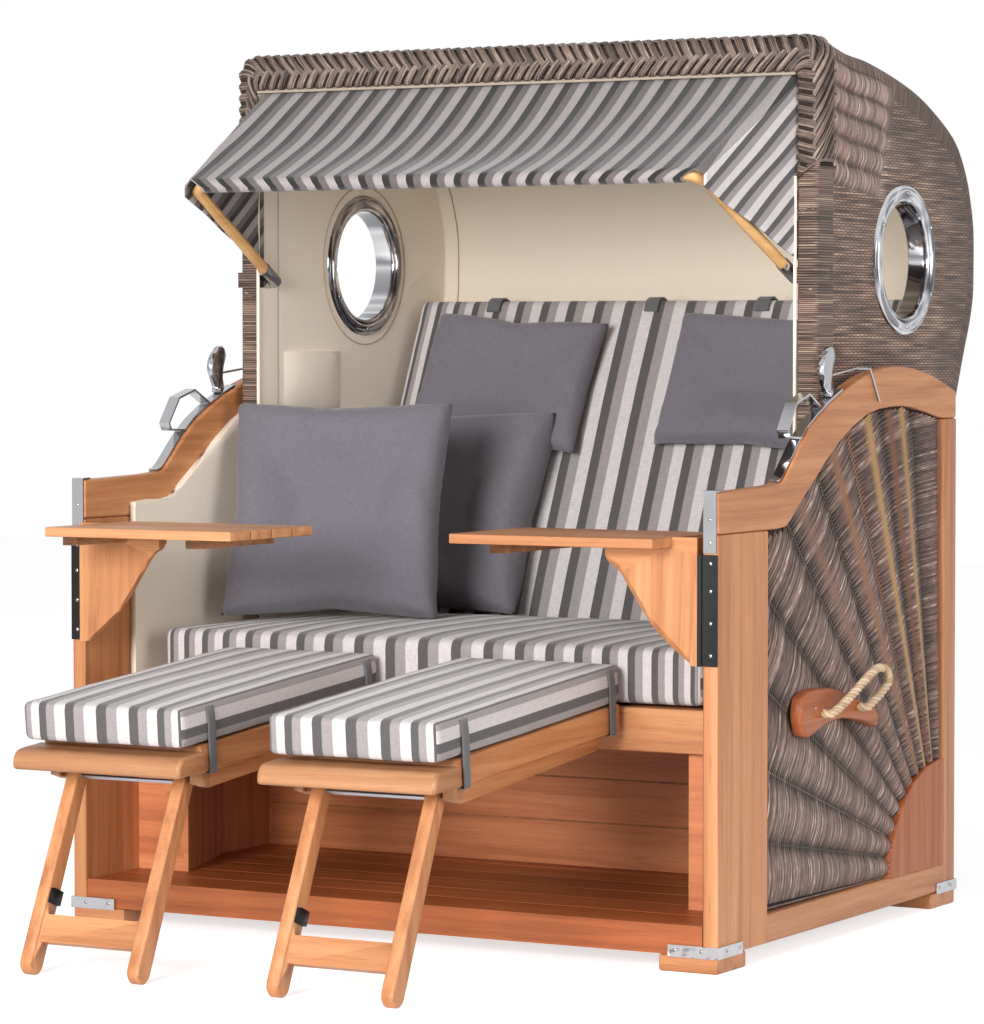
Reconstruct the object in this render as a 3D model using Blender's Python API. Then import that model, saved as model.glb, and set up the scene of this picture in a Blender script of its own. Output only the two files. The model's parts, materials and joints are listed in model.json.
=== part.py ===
"""Hooded two-seat beach chair: wooden base, tilting wicker hood, awning, tables and footrests."""
import math
import bpy
import bmesh
from mathutils import Matrix, Vector
from mathutils.bvhtree import BVHTree

# Chair axes: X to the viewer's right, Y from the front posts to the back, Z up from the floor.

# Fits shared by all pieces
GAP = 0.0003
SOFT_GAP = 0.0008
LEAN_GAP = 0.0016
SIDE_BULGE_SHARE = 0.04
EDGE_SAMPLES = 6
CUT_OVERRUN = 0.010
EDGE_ROUND = 0.003

# Base frame
BASE_HALF_WIDTH = 0.680
BASE_DEPTH = 1.055
FRAME_THICKNESS = 0.030
FOOT_HEIGHT = 0.030
FOOT_LENGTH = 0.115
BOTTOM_RAIL_HEIGHT = 0.053
POST_DEPTH = 0.203
STILE_DEPTH = 0.058
ARM_UNDERSIDE = 0.766
ARM_HEIGHT = 0.073
ARM_RISE = 0.214
ARM_ROUND = 0.005
ARM_UPPER_SHARES = [(0.0, 0.0), (0.08, 0.008), (0.16, 0.018), (0.235, 0.035), (0.262, 0.09), (0.30, 0.26),
                    (0.36, 0.49), (0.46, 0.72), (0.587, 0.92), (0.70, 0.998), (0.80, 0.985),
                    (0.90, 0.905), (1.0, 0.768)]
ARM_LOWER_SHARES = [(0.0, 0.0), (0.10, 0.0), (0.1925, 0.0), (0.262, 0.012), (0.298, 0.125), (0.378, 0.383),
                    (0.477, 0.69), (0.60, 0.925), (0.71, 0.985), (0.80, 0.972), (0.90, 0.893),
                    (0.945, 0.866), (1.0, 0.866)]
ARM_STEPS = 2

# Corner board and fluted side wicker
CORNER_BOARD_DEPTH = 0.254
CORNER_BOARD_HEIGHT = 0.206
CORNER_BOARD_THICKNESS = 0.022
WICKER_THICKNESS = 0.010
WICKER_BACK = 0.002
FLUTE_HEIGHT = 0.010
FLUTE_COUNT = 10
FLUTE_COLUMNS = 4
FLUTE_RING_SHARES = [0.0, 0.5, 1.0]

# Inner linings of the base
LINING_THICKNESS = 0.014
LINING_FRONT = 0.147
LINING_LIFT = 0.030
LINING_CORNER_ROUND = 0.012

# Seat box
SEAT_FRONT = 0.150
SEAT_RAIL_THICKNESS = 0.026
SEAT_RAIL_HEIGHT = 0.080
SEAT_TOP = 0.445
SEAT_DECK_THICKNESS = 0.018
SEAT_DECK_END = 0.775
SEAT_DECK_BOARDS = 6
BOARD_GROOVE_WIDTH = 0.004
BOARD_GROOVE_DEPTH = 0.004
FLOOR_THICKNESS = 0.018
FLOOR_BOARDS = 9
APRON_THICKNESS = 0.026
APRON_SETBACK = 0.002
CAVITY_WALL = 0.016
CAVITY_BACK = 0.620
CHEEK_FRONT_HALF_WIDTH = 0.536
CHEEK_END = 0.450
CAVITY_BOARDS = 4

# Rear panel
REAR_RAIL_HEIGHT = 0.050
REAR_PANEL_TOP = 0.360
REAR_PANEL_THICKNESS = 0.028
REAR_WICKER_INSET = 0.008
REAR_RIBS = 24

# Corner fittings and feet
BRACKET_LEG = 0.095
BRACKET_HEIGHT = 0.021
BRACKET_DROP = 0.003
FITTING_THICKNESS = 0.003

# Side handle of board and rope
HANDLE_REST = 0.0003
HANDLE_THICKNESS = 0.024
HANDLE_FRONT = 0.298
HANDLE_LENGTH = 0.346
HANDLE_BOTTOM = 0.380
HANDLE_HEIGHT = 0.092
HANDLE_UPPER_SHARES = [(0.0, 0.45), (0.015, 0.84), (0.08, 0.95), (0.17, 1.0), (0.36, 0.98), (0.52, 0.88),
                       (0.70, 0.68), (0.83, 0.56), (0.93, 0.50), (1.0, 0.26)]
HANDLE_LOWER_SHARES = [(1.0, 0.0), (0.86, 0.12), (0.73, 0.24), (0.55, 0.32), (0.40, 0.30), (0.29, 0.24),
                       (0.17, 0.10), (0.11, 0.06), (0.03, 0.14)]
HANDLE_EDGE_ROUND = 0.005
ROPE_RADIUS = 0.0068
ROPE_HOLE_CLEARANCE = 0.0008
ROPE_STANDOFF = 0.020
ROPE_LOOP_SHARES = [(0.28, 0.50), (0.36, 0.60), (0.50, 0.82), (0.64, 1.06), (0.80, 1.26), (0.92, 1.20),
                    (0.955, 0.96), (0.87, 0.74), (0.79, 0.60), (0.735, 0.50)]
ROPE_LIFT_SHARES = [0.0, 0.25, 0.5, 0.7, 0.75, 0.75, 0.7, 0.5, 0.25, 0.0]
ROPE_HOLE_SHARE = 0.35
ROPE_STEPS = 3

# Arm strap, sliding rail and carrying handle
STRAP_WIDTH = 0.025
STRAP_DROP = 0.105
STRAP_RETURN = 0.022
RAIL_WIDTH = 0.020
RAIL_THICKNESS = 0.005
RAIL_START = 0.252
RAIL_END = 0.530
CARRY_BAND = 0.004
CARRY_WIDTH = 0.023
CARRY_START = 0.352
CARRY_LENGTH = 0.086
CARRY_REACH = 0.062
CARRY_SEAT_SHARE = 0.9
CARRY_SHARES = [(0.0, 0.0), (-0.42, 0.42), (-0.42, 0.62), (0.12, 1.0), (0.66, 0.78), (1.0, 0.0)]

# Toggle latch on the arm
LATCH_PLACE = 0.486
LATCH_BARREL_RADIUS = 0.006
LATCH_HEIGHT = 0.078
LATCH_WIDTH = 0.012
LATCH_DEPTH = 0.050
LATCH_LEVER_SHARES = [(-0.10, -0.02), (-0.52, 0.42), (-0.56, 0.72), (-0.22, 0.98), (0.16, 1.12),
                      (0.44, 0.90), (0.26, 0.60), (0.20, 0.30), (0.30, 0.02)]
BAIL_RADIUS = 0.0025
BAIL_REACH = 0.150
BAIL_RISE = 0.012
BAIL_DROP = 0.062
BAIL_SIDE_CLEARANCE = 0.0015

# Table hinge, bracket and top
TABLE_HINGE_LOW = 0.537
TABLE_HINGE_HEIGHT = 0.194
TABLE_BARREL_RADIUS = 0.0045
TABLE_HINGE_OFFSET = 0.0035
TABLE_LEAF_WIDTH = 0.014
TABLE_TOP_HEIGHT = 0.760
TABLE_TOP_THICKNESS = 0.0175
TABLE_LENGTH = 0.405
TABLE_DEPTH = 0.280
TABLE_FRONT = 0.075
TABLE_OUTER = 0.590
TABLE_SLATS = 4
TABLE_SLOT_WIDTH = 0.004
TABLE_SLOT_LENGTH = 0.075
TABLE_BATTEN_WIDTH = 0.030
TABLE_BATTEN_HEIGHT = 0.016
TABLE_BATTEN_INSET = 0.030
BRACKET_BOARD = 0.025
BRACKET_REACH = 0.180
BRACKET_BEAM = 0.028
BRACKET_CHAMFER = 0.012
BRACKET_CURVE_SHARES = [(1.0, 0.0), (0.90, 0.06), (0.80, 0.20), (0.66, 0.42), (0.48, 0.66), (0.26, 0.86),
                        (0.08, 1.0)]

# Footrests
FOOTREST_CENTRE = 0.253
FOOTREST_TILT = math.radians(4.7)
FOOTREST_PIVOT_HEIGHT = 0.403
FOOTREST_RAIL_HEIGHT = 0.050
FOOTREST_RAIL_WIDTH = 0.025
FOOTREST_HALF_WIDTH = 0.165
FOOTREST_LENGTH = 0.600
FOOTREST_BARREL_RADIUS = 0.0055
FOOTREST_BARREL_LENGTH = 0.240
NOSE_DEPTH = 0.088
NOSE_HEIGHT = 0.035
NOSE_DROP = 0.010
NOSE_OVERHANG = 0.010
NOSE_ROUND_SHARES = [(1.0, 0.0), (1.0, 0.30), (0.97, 0.62), (0.90, 0.85), (0.80, 0.97), (0.70, 1.0)]
SLAT_COUNT = 5
SLAT_WIDTH = 0.060
SLAT_THICKNESS = 0.016
RUNNER_WIDTH = 0.018
RUNNER_HEIGHT = 0.030
RUNNER_INSET = 0.009
RUNNER_START = 0.065
LEG_PIVOT_INSET = 0.018
LEG_PIVOT_DROP = 0.0210
LEG_SPREAD = 0.112
LEG_WIDTH = 0.024
LEG_DEPTH = 0.034
LEG_FOOT_ADVANCE = 0.148
LEG_FLARE = 0.004
LEG_BAR_LOW = 0.058
LEG_BAR_HEIGHT = 0.050
LEG_BAR_THICKNESS = 0.018
LEG_ROD_RADIUS = 0.004
LEG_ROD_CLEARANCE = 0.0005
LEG_CATCH_HEIGHT = 0.155
LEG_CATCH_SIZE = 0.026
LEG_CATCH_THICKNESS = 0.010
FOOT_CUSHION_THICKNESS = 0.074
FOOT_CUSHION_LENGTH = 0.660
FOOT_CUSHION_HALF_WIDTH = 0.1665
FOOT_STRAP_WIDTH = 0.022
FOOT_STRAP_THICKNESS = 0.0025
FOOT_STRAP_RISE = 0.094
FOOT_STRAP_FRONT = 0.560
FOOT_STRAP_REAR = 0.030

# Hood
HOOD_HALF_WIDTH = 0.625
HOOD_HEIGHT = 1.660
HOOD_FRONT = 0.512
HOOD_DEPTH = 0.782
HOOD_BOTTOM = 0.460
HOOD_TAIL_BOTTOM = 0.435
HOOD_TAIL = 0.958
HOOD_ROUND = 0.030
HOOD_LEAST_ROUND = 0.004
HOOD_ROUND_STEPS = 2
HOOD_SHELL = 0.014
HOOD_LINING = 0.022
HOOD_PROFILE_SHARES = [(0.10, 1.0), (0.217, 0.979), (0.335, 0.969), (0.425, 0.956), (0.515, 0.940),
                       (0.609, 0.920), (0.703, 0.893), (0.799, 0.856), (0.864, 0.824), (0.910, 0.787),
                       (0.951, 0.735), (0.978, 0.678), (0.998, 0.609), (1.0, 0.516), (0.995, 0.445),
                       (0.969, 0.376), (0.937, 0.317), (0.886, 0.214), (0.780, 0.0)]
HOOD_PROFILE_HEIGHT = 0.860
RIM_WIDTH = 0.042
RIM_DEPTH = 0.078
RIM_TOP_HEIGHT = 0.063
RIM_PROUD = 0.006
RIM_CORNER = 0.035
RIM_INNER_CORNER = 0.010
RIM_CORNER_STEPS = 3
RIM_SIDES = 3

# Hood pivot and backrest
PIVOT_DEPTH = 0.800
PIVOT_HEIGHT = 0.500
PIVOT_RADIUS = 0.010
PIVOT_FLANGE_RADIUS = 0.024
PIVOT_FLANGE = 0.003
PIVOT_CLEARANCE = 0.0005
BACKREST_LEAN = math.radians(24.6)
BACKREST_CLEARANCE = 0.0259
BACKREST_STEPS = 12
BACKREST_FACE_HEIGHT = 0.565
BACKREST_LOW = -0.085
BACKREST_LENGTH = 0.775
BACKREST_BOARD = 0.018
BACK_CUSHION_THICKNESS = 0.085
BACK_CUSHION_LOW = -0.070
BACK_CUSHION_LENGTH = 0.760
BACK_CUSHION_HALF_WIDTH = 0.572

# Portholes
PORTHOLE_DEPTH = 0.921
PORTHOLE_LEVEL_SHARE = 0.509135
PORTHOLE_FLANGE_RADIUS = 0.1455
PORTHOLE_BORE_RADIUS = 0.112
PORTHOLE_TUBE = 0.004
PORTHOLE_FLANGE_RISE = 0.009
PORTHOLE_SIDES = 32
PORTHOLE_PROFILE_SHARES = [(0.0, 0.35), (0.20, 0.95), (0.62, 0.90), (1.0, 0.0)]

# Seat, head and throw cushions
SEAT_CUSHION_HALF_WIDTH = 0.573
SEAT_CUSHION_THICKNESS = 0.112
SEAT_CUSHION_CLEARANCE = 0.014
HEAD_CUSHION_WIDTH = 0.376
HEAD_CUSHION_HEIGHT = 0.256
HEAD_CUSHION_THICKNESS = 0.075
HEAD_CUSHION_TOP = 0.640
HEAD_CUSHION_LEFT = 0.246
HEAD_CUSHION_RIGHT = 0.325
HEAD_CUSHION_TURNS = (math.radians(-7), math.radians(2))
HEAD_CUSHION_EDGE = 0.014
THROW_SIZE = 0.440
THROW_THICKNESS = 0.130
THROW_EDGE = 0.012
THROW_PLACES = [("throw_cushion_back", (0.525, 0.90), math.radians(24.5), 0.0),
                ("throw_cushion_front", (0.452, 0.25), math.radians(17), math.radians(17))]
THROW_SLACKS = (0.050, 0.006, 0.0015, 0.0004)

# Pocket on the left lining
POCKET_DEPTH = 0.605
POCKET_LENGTH = 0.215
POCKET_LEVEL_SHARE = 0.153471
POCKET_HEIGHT = 0.115
POCKET_BULGE = 0.012

# Awning
BOW_PIVOT_DEPTH = 0.540
BOW_PIVOT_LEVEL_SHARE = 0.466504
BOW_PIVOT_INSET = 0.019
BOW_FRONT_DEPTH = 0.205
BOW_FRONT_LEVEL_SHARE = 0.680877
BOW_FRONT_HALF_WIDTH = 0.540
BOW_RADIUS = 0.011
BOW_FERRULE_RADIUS = 0.013
BOW_FERRULE_LENGTH = 0.050
BOW_STUB_RADIUS = 0.005
AWNING_CLOTH = 0.0025
AWNING_REAR_DEPTH = 0.530
AWNING_SAG = 0.012
AWNING_SIDE_LOW = 0.040
AWNING_CHEEK_FRONT = 0.034
AWNING_CHEEK_STEPS = 2
AWNING_CORNER = 0.012
SLEEVE_TURN = math.radians(292)
SLEEVE_STEPS = 6
SLEEVE_CLEARANCE = 0.0009
SLEEVE_END_SHARE = 2.6
AWNING_COLUMNS = 14
AWNING_ROWS = 7
AWNING_RIPPLE = 0.004
CLAMP_HEIGHT = 0.030
CLAMP_THICKNESS = 0.0025

# Finishes: base colour, roughness, metallic
WOOD = ((0.62, 0.33, 0.14), 0.45, 0.0)
DARK_WOOD = ((0.42, 0.20, 0.09), 0.5, 0.0)
WICKER = ((0.27, 0.21, 0.17), 0.7, 0.0)
STEEL = ((0.72, 0.72, 0.74), 0.2, 1.0)
BLACK_STEEL = ((0.04, 0.04, 0.045), 0.35, 0.6)
CREAM = ((0.74, 0.66, 0.53), 0.7, 0.0)
STRIPE = ((0.55, 0.53, 0.53), 0.85, 0.0)
GREY_CLOTH = ((0.16, 0.16, 0.18), 0.9, 0.0)
ROPE = ((0.72, 0.56, 0.36), 0.8, 0.0)


def clear_scene():
    for item in list(bpy.data.objects):
        bpy.data.objects.remove(item, do_unlink=True)


def give_material(item, name, finish):
    colour, roughness, metallic = finish
    material = bpy.data.materials.new(name)
    material.use_nodes = True
    shader = material.node_tree.nodes["Principled BSDF"]
    shader.inputs["Base Color"].default_value = (*colour, 1.0)
    shader.inputs["Roughness"].default_value = roughness
    shader.inputs["Metallic"].default_value = metallic
    material.diffuse_color = (*colour, 1.0)
    item.data.materials.clear()
    item.data.materials.append(material)


def from_bmesh(name, mesh_data):
    bmesh.ops.recalc_face_normals(mesh_data, faces=mesh_data.faces[:])
    mesh = bpy.data.meshes.new(name)
    mesh_data.to_mesh(mesh)
    mesh_data.free()
    item = bpy.data.objects.new(name, mesh)
    bpy.context.collection.objects.link(item)
    return item


def bake_modifiers(item):
    bpy.context.view_layer.update()
    graph = bpy.context.evaluated_depsgraph_get()
    mesh = bpy.data.meshes.new_from_object(item.evaluated_get(graph))
    item.modifiers.clear()
    shape = bmesh.new()
    shape.from_mesh(mesh)
    bmesh.ops.remove_doubles(shape, verts=shape.verts[:], dist=GAP / 100)
    bmesh.ops.dissolve_degenerate(shape, edges=shape.edges[:], dist=GAP / 100)
    shape.to_mesh(mesh)
    shape.free()
    item.data = mesh
    return item


def round_edges(item, width, segments=1, angle=math.radians(40)):
    """Round the edges that stick out more sharply than the angle."""
    shape = bmesh.new()
    shape.from_mesh(item.data)
    edges = [edge for edge in shape.edges if edge.is_convex and edge.calc_face_angle(0) > angle]
    bmesh.ops.bevel(shape, geom=edges, offset=width, offset_type='OFFSET', segments=segments, profile=0.5,
                    affect='EDGES', clamp_overlap=True)
    shape.to_mesh(item.data)
    shape.free()
    return item


def combine(item, other, operation):
    modifier = item.modifiers.new(operation.title(), 'BOOLEAN')
    modifier.operation = operation
    modifier.solver = 'EXACT'
    modifier.object = other
    bake_modifiers(item)
    bpy.data.objects.remove(other, do_unlink=True)
    return item


def fuse(item, *others):
    for other in others:
        combine(item, other, 'UNION')
    return item


def cut(item, *cutters):
    for cutter in cutters:
        combine(item, cutter, 'DIFFERENCE')
    return item


def place_point(axis, along, pair):
    first, second = pair
    if axis == 'X':
        return (along, first, second)
    if axis == 'Y':
        return (first, along, second)
    return (first, second, along)


def extrude(name, outline, axis, low, high):
    """Extrude an outline, given in the other two axes, from low to high along an axis."""
    shape = bmesh.new()
    rim = [shape.verts.new(place_point(axis, low, pair)) for pair in outline]
    face = shape.faces.new(rim)
    made = bmesh.ops.extrude_face_region(shape, geom=[face])
    moved = [part for part in made["geom"] if isinstance(part, bmesh.types.BMVert)]
    bmesh.ops.translate(shape, verts=moved, vec=Vector(place_point(axis, high - low, (0, 0))))
    return from_bmesh(name, shape)


def box(name, low, high):
    outline = [(low[0], low[1]), (high[0], low[1]), (high[0], high[1]), (low[0], high[1])]
    return extrude(name, outline, 'Z', low[2], high[2])


def cylinder(name, axis, centre, radius, low, high, sides=20):
    outline = []
    for index in range(sides):
        angle = 2 * math.pi * index / sides
        outline.append((centre[0] + radius * math.cos(angle), centre[1] + radius * math.sin(angle)))
    return extrude(name, outline, axis, low, high)


def smooth_line(points, steps):
    """Pass a Catmull-Rom curve through the points."""
    line = []
    last = len(points) - 1
    for index in range(last):
        before = Vector(points[max(index - 1, 0)])
        start = Vector(points[index])
        end = Vector(points[index + 1])
        after = Vector(points[min(index + 2, last)])
        for step in range(steps):
            t = step / steps
            bend = (2 * start + (end - before) * t
                    + (2 * before - 5 * start + 4 * end - after) * t ** 2
                    + (3 * start - before - 3 * end + after) * t ** 3) / 2
            line.append(tuple(bend))
    line.append(tuple(points[last]))
    return line


def offset_line(line, distance):
    """Shift an open line sideways, to its left for a positive distance."""
    shifted = []
    for index, point in enumerate(line):
        before = Vector(line[max(index - 1, 0)])
        after = Vector(line[min(index + 1, len(line) - 1)])
        here = Vector(point)
        first = (here - before).normalized() if index > 0 else (after - here).normalized()
        second = (after - here).normalized() if index < len(line) - 1 else first
        across = Vector((-first.y - second.y, first.x + second.x)).normalized()
        spread = max(across.dot(Vector((-first.y, first.x))), 0.5)
        shifted.append(tuple(here + across * (distance / spread)))
    return shifted


def ribbon(line, thickness):
    """Give an open line a thickness on its left and return the closed outline."""
    return list(line) + offset_line(line, thickness)[::-1]


def height_on(line, depth):
    """Read the height of a line of depth and height pairs at one depth."""
    for (y0, z0), (y1, z1) in zip(line, line[1:]):
        if y0 <= depth <= y1:
            return z0 + (z1 - z0) * (depth - y0) / (y1 - y0)
    return line[-1][1]


def part_of_line(line, start, end):
    inside = [point for point in line if start < point[0] < end]
    return [(start, height_on(line, start))] + inside + [(end, height_on(line, end))]


def tube(name, points, radius, sides_setting, smooth_steps=0):
    """Sweep a round bar with filled ends along the points."""
    path = smooth_line(points, smooth_steps) if smooth_steps else points
    curve = bpy.data.curves.new(name, 'CURVE')
    curve.dimensions = '3D'
    curve.bevel_depth = radius
    curve.bevel_resolution = sides_setting
    curve.use_fill_caps = True
    spline = curve.splines.new('POLY')
    spline.points.add(len(path) - 1)
    for target, point in zip(spline.points, path):
        target.co = (*point, 1.0)
    holder = bpy.data.objects.new(name, curve)
    bpy.context.collection.objects.link(holder)
    bpy.context.view_layer.update()
    graph = bpy.context.evaluated_depsgraph_get()
    mesh = bpy.data.meshes.new_from_object(holder.evaluated_get(graph))
    bpy.data.objects.remove(holder, do_unlink=True)
    shape = bmesh.new()
    shape.from_mesh(mesh)
    bmesh.ops.remove_doubles(shape, verts=shape.verts[:], dist=GAP / 10)
    return from_bmesh(name, shape)


def mirrored(item, name, finish):
    """Copy a piece to the other side of the chair."""
    shape = bmesh.new()
    shape.from_mesh(item.data)
    bmesh.ops.scale(shape, vec=Vector((-1, 1, 1)), verts=shape.verts[:])
    bmesh.ops.reverse_faces(shape, faces=shape.faces[:])
    copy = from_bmesh(name, shape)
    give_material(copy, name, finish)
    return copy


def moved_copy(item, name, finish, matrix):
    shape = bmesh.new()
    shape.from_mesh(item.data)
    bmesh.ops.transform(shape, matrix=matrix, verts=shape.verts[:])
    copy = from_bmesh(name, shape)
    give_material(copy, name, finish)
    return copy


def both_sides(build, name, finish):
    """Build the right piece and mirror it for the left side."""
    right = build(name + "_right")
    give_material(right, name + "_right", finish)
    mirrored(right, name + "_left", finish)
    return right


def pad(name, width, length, edge, crown, pull, cells, place):
    """Sew a stuffed cushion: crowned faces, sides drawn in between the corners."""
    across, along = cells
    shape = bmesh.new()
    layers = []
    for side in (1, -1):
        grid = []
        for row in range(along + 1):
            v = math.sin((row / along - 0.5) * math.pi)
            line = []
            for column in range(across + 1):
                u = math.sin((column / across - 0.5) * math.pi)
                x = width / 2 * u * (1 - pull * (1 - v * v))
                y = length / 2 * v * (1 - pull * (1 - u * u))
                swell = ((1 - u ** 4) * (1 - v ** 4)) ** 0.5
                line.append(shape.verts.new(place @ Vector((x, y, side * (edge / 2 + crown * swell)))))
            grid.append(line)
        layers.append(grid)
    top, bottom = layers
    for row in range(along):
        for column in range(across):
            for grid, turn in ((top, False), (bottom, True)):
                corners = [grid[row][column], grid[row][column + 1],
                           grid[row + 1][column + 1], grid[row + 1][column]]
                shape.faces.new(corners[::-1] if turn else corners)
    rim_top = border(top)
    rim_bottom = border(bottom)
    middle = []
    bulge = edge * SIDE_BULGE_SHARE
    for upper, lower in zip(rim_top, rim_bottom):
        centre = (upper.co + lower.co) / 2
        outward = centre - place @ Vector((0, 0, 0))
        middle.append(shape.verts.new(centre + outward.normalized() * bulge))
    count = len(rim_top)
    for index in range(count):
        after = (index + 1) % count
        shape.faces.new((rim_top[index], rim_top[after], middle[after], middle[index]))
        shape.faces.new((middle[index], middle[after], rim_bottom[after], rim_bottom[index]))
    return from_bmesh(name, shape)


def settle(item, others, direction, gap=SOFT_GAP):
    """Slide a soft piece along a direction until it lies close to the nearest of the others."""
    way = Vector(direction).normalized()
    own = bvh_of(item)
    least = math.inf
    for other in others:
        tree = bvh_of(other)
        least = min(least, shortest_cast(tree, edge_points(item), way),
                    shortest_cast(own, edge_points(other), -way))
    item.data.transform(Matrix.Translation(way * (least - gap)))
    return item


def edge_points(item):
    """Points spread along every edge of a piece."""
    vertices = item.data.vertices
    points = []
    for edge in item.data.edges:
        start, end = (vertices[index].co for index in edge.vertices)
        points += [start.lerp(end, step / EDGE_SAMPLES) for step in range(EDGE_SAMPLES)]
    return points


def shortest_cast(tree, points, way):
    hits = (tree.ray_cast(point, way)[3] for point in points)
    return min((distance for distance in hits if distance is not None), default=math.inf)


def bvh_of(item):
    shape = bmesh.new()
    shape.from_mesh(item.data)
    tree = BVHTree.FromBMesh(shape)
    shape.free()
    return tree


def border(grid):
    """List the rim of a grid of vertices in order."""
    rim = list(grid[0])
    rim += [row[-1] for row in grid[1:]]
    rim += list(reversed(grid[-1][:-1]))
    rim += [row[0] for row in reversed(grid[1:-1])]
    return rim


def arm_line(shares, base_height):
    points = [(depth * BASE_DEPTH, base_height + rise * ARM_RISE) for depth, rise in shares]
    return smooth_line(points, ARM_STEPS)


def arm_top():
    return arm_line(ARM_UPPER_SHARES, ARM_UNDERSIDE + ARM_HEIGHT)


def arm_bottom():
    return arm_line(ARM_LOWER_SHARES, ARM_UNDERSIDE)


def side_inner():
    return BASE_HALF_WIDTH - FRAME_THICKNESS


def rail_top():
    return FOOT_HEIGHT + BOTTOM_RAIL_HEIGHT


def build_side_frame(name):
    """Post, bottom rail and rear stile of one side, glued into one frame."""
    stile_front = BASE_DEPTH - STILE_DEPTH
    stile_top = [(y, z - GAP) for y, z in part_of_line(arm_bottom(), stile_front, BASE_DEPTH)]
    post_top = ARM_UNDERSIDE - GAP
    outline = [(0, FOOT_HEIGHT), (BASE_DEPTH, FOOT_HEIGHT)] + stile_top[::-1] + [
        (stile_front, rail_top()), (POST_DEPTH, rail_top()), (POST_DEPTH, post_top), (0, post_top)]
    frame = extrude(name, outline, 'X', side_inner(), BASE_HALF_WIDTH)
    return round_edges(frame, EDGE_ROUND)


def build_arm(name):
    outline = arm_bottom() + arm_top()[::-1]
    arm = extrude(name, outline, 'X', side_inner(), BASE_HALF_WIDTH)
    return round_edges(arm, ARM_ROUND, 2)


def wicker_corner():
    return (BASE_DEPTH - STILE_DEPTH - GAP, rail_top() + GAP)


def build_corner_board(name):
    """Quarter board on which the side's pleats stand."""
    corner = wicker_corner()
    outline = [corner] + [spoke_point(corner, angle, board_radius(angle))
                          for angle in spoke_angles(opening_line(), corner)]
    return extrude(name, outline, 'X', BASE_HALF_WIDTH - CORNER_BOARD_THICKNESS, BASE_HALF_WIDTH)


def spoke_point(corner, angle, radius):
    return (corner[0] - radius * math.cos(angle), corner[1] + radius * math.sin(angle))


def opening_line():
    """Outline of the side opening, from the rail's front corner over the arm to the stile."""
    front = POST_DEPTH + GAP
    corner_y, corner_z = wicker_corner()
    arch = [(y, z - GAP) for y, z in part_of_line(arm_bottom(), front, corner_y)]
    return [(front, corner_z)] + arch


def reach_to(line, corner, angle):
    """Distance from the corner to the line along one spoke."""
    step_y, step_z = -math.cos(angle), math.sin(angle)
    best = None
    for (y0, z0), (y1, z1) in zip(line, line[1:]):
        run_y, run_z = y1 - y0, z1 - z0
        cross = step_y * run_z - step_z * run_y
        if abs(cross) < 1e-12:
            continue
        away_y, away_z = y0 - corner[0], z0 - corner[1]
        distance = (away_y * run_z - away_z * run_y) / cross
        share = (away_y * step_z - away_z * step_y) / cross
        if distance > 0 and -1e-6 <= share <= 1 + 1e-6:
            best = distance if best is None else min(best, distance)
    return best


def spoke_angles(line, corner):
    """Even spokes, with one turned onto the opening's upper front corner."""
    count = FLUTE_COUNT * FLUTE_COLUMNS
    angles = [math.pi / 2 * index / count for index in range(count + 1)]
    top_y, top_z = line[1]
    corner_angle = math.atan2(top_z - corner[1], corner[0] - top_y)
    nearest = min(range(1, count), key=lambda index: abs(angles[index] - corner_angle))
    angles[nearest] = corner_angle
    return angles


def build_side_wicker(name):
    """Sunburst of wicker pleats that fans out from the corner board."""
    corner = wicker_corner()
    line = opening_line()
    angles = spoke_angles(line, corner)
    inner = side_inner() + WICKER_BACK
    flat = BASE_HALF_WIDTH - WICKER_THICKNESS - FLUTE_HEIGHT / 2
    shape = bmesh.new()
    outer_rows = []
    inner_rows = []
    last = len(angles) - 1
    for index, angle in enumerate(angles):
        near = board_radius(angle) + GAP
        far = line[-1][1] - corner[1] if index == last else reach_to(line, corner, angle)
        far += CUT_OVERRUN
        pleat = abs(math.sin(math.pi * index / FLUTE_COLUMNS))
        outer_row = []
        inner_row = []
        for share in FLUTE_RING_SHARES:
            y, z = spoke_point(corner, angle, near + (far - near) * share)
            outer_row.append(shape.verts.new((flat + FLUTE_HEIGHT * pleat, y, z)))
            inner_row.append(shape.verts.new((inner, y, z)))
        outer_rows.append(outer_row)
        inner_rows.append(inner_row)
    skin_between(shape, outer_rows, inner_rows)
    wicker = from_bmesh(name, shape)
    frame = extrude("opening", [corner] + line, 'X', inner - CUT_OVERRUN, BASE_HALF_WIDTH + CUT_OVERRUN)
    return combine(wicker, frame, 'INTERSECT')


def board_radius(angle):
    """Radius of the corner board's rim along one spoke."""
    across = math.cos(angle) / CORNER_BOARD_DEPTH
    upward = math.sin(angle) / CORNER_BOARD_HEIGHT
    return 1 / math.sqrt(across ** 2 + upward ** 2)


def skin_between(shape, front, back):
    """Close the two matching grids into one thin solid."""
    for grid, turn in ((front, False), (back, True)):
        for row, after in zip(grid, grid[1:]):
            for index in range(len(row) - 1):
                corners = [row[index], row[index + 1], after[index + 1], after[index]]
                shape.faces.new(corners[::-1] if turn else corners)
    rim_front = border(front)
    rim_back = border(back)
    count = len(rim_front)
    for index in range(count):
        after = (index + 1) % count
        shape.faces.new((rim_front[index], rim_back[index], rim_back[after], rim_front[after]))


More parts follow.
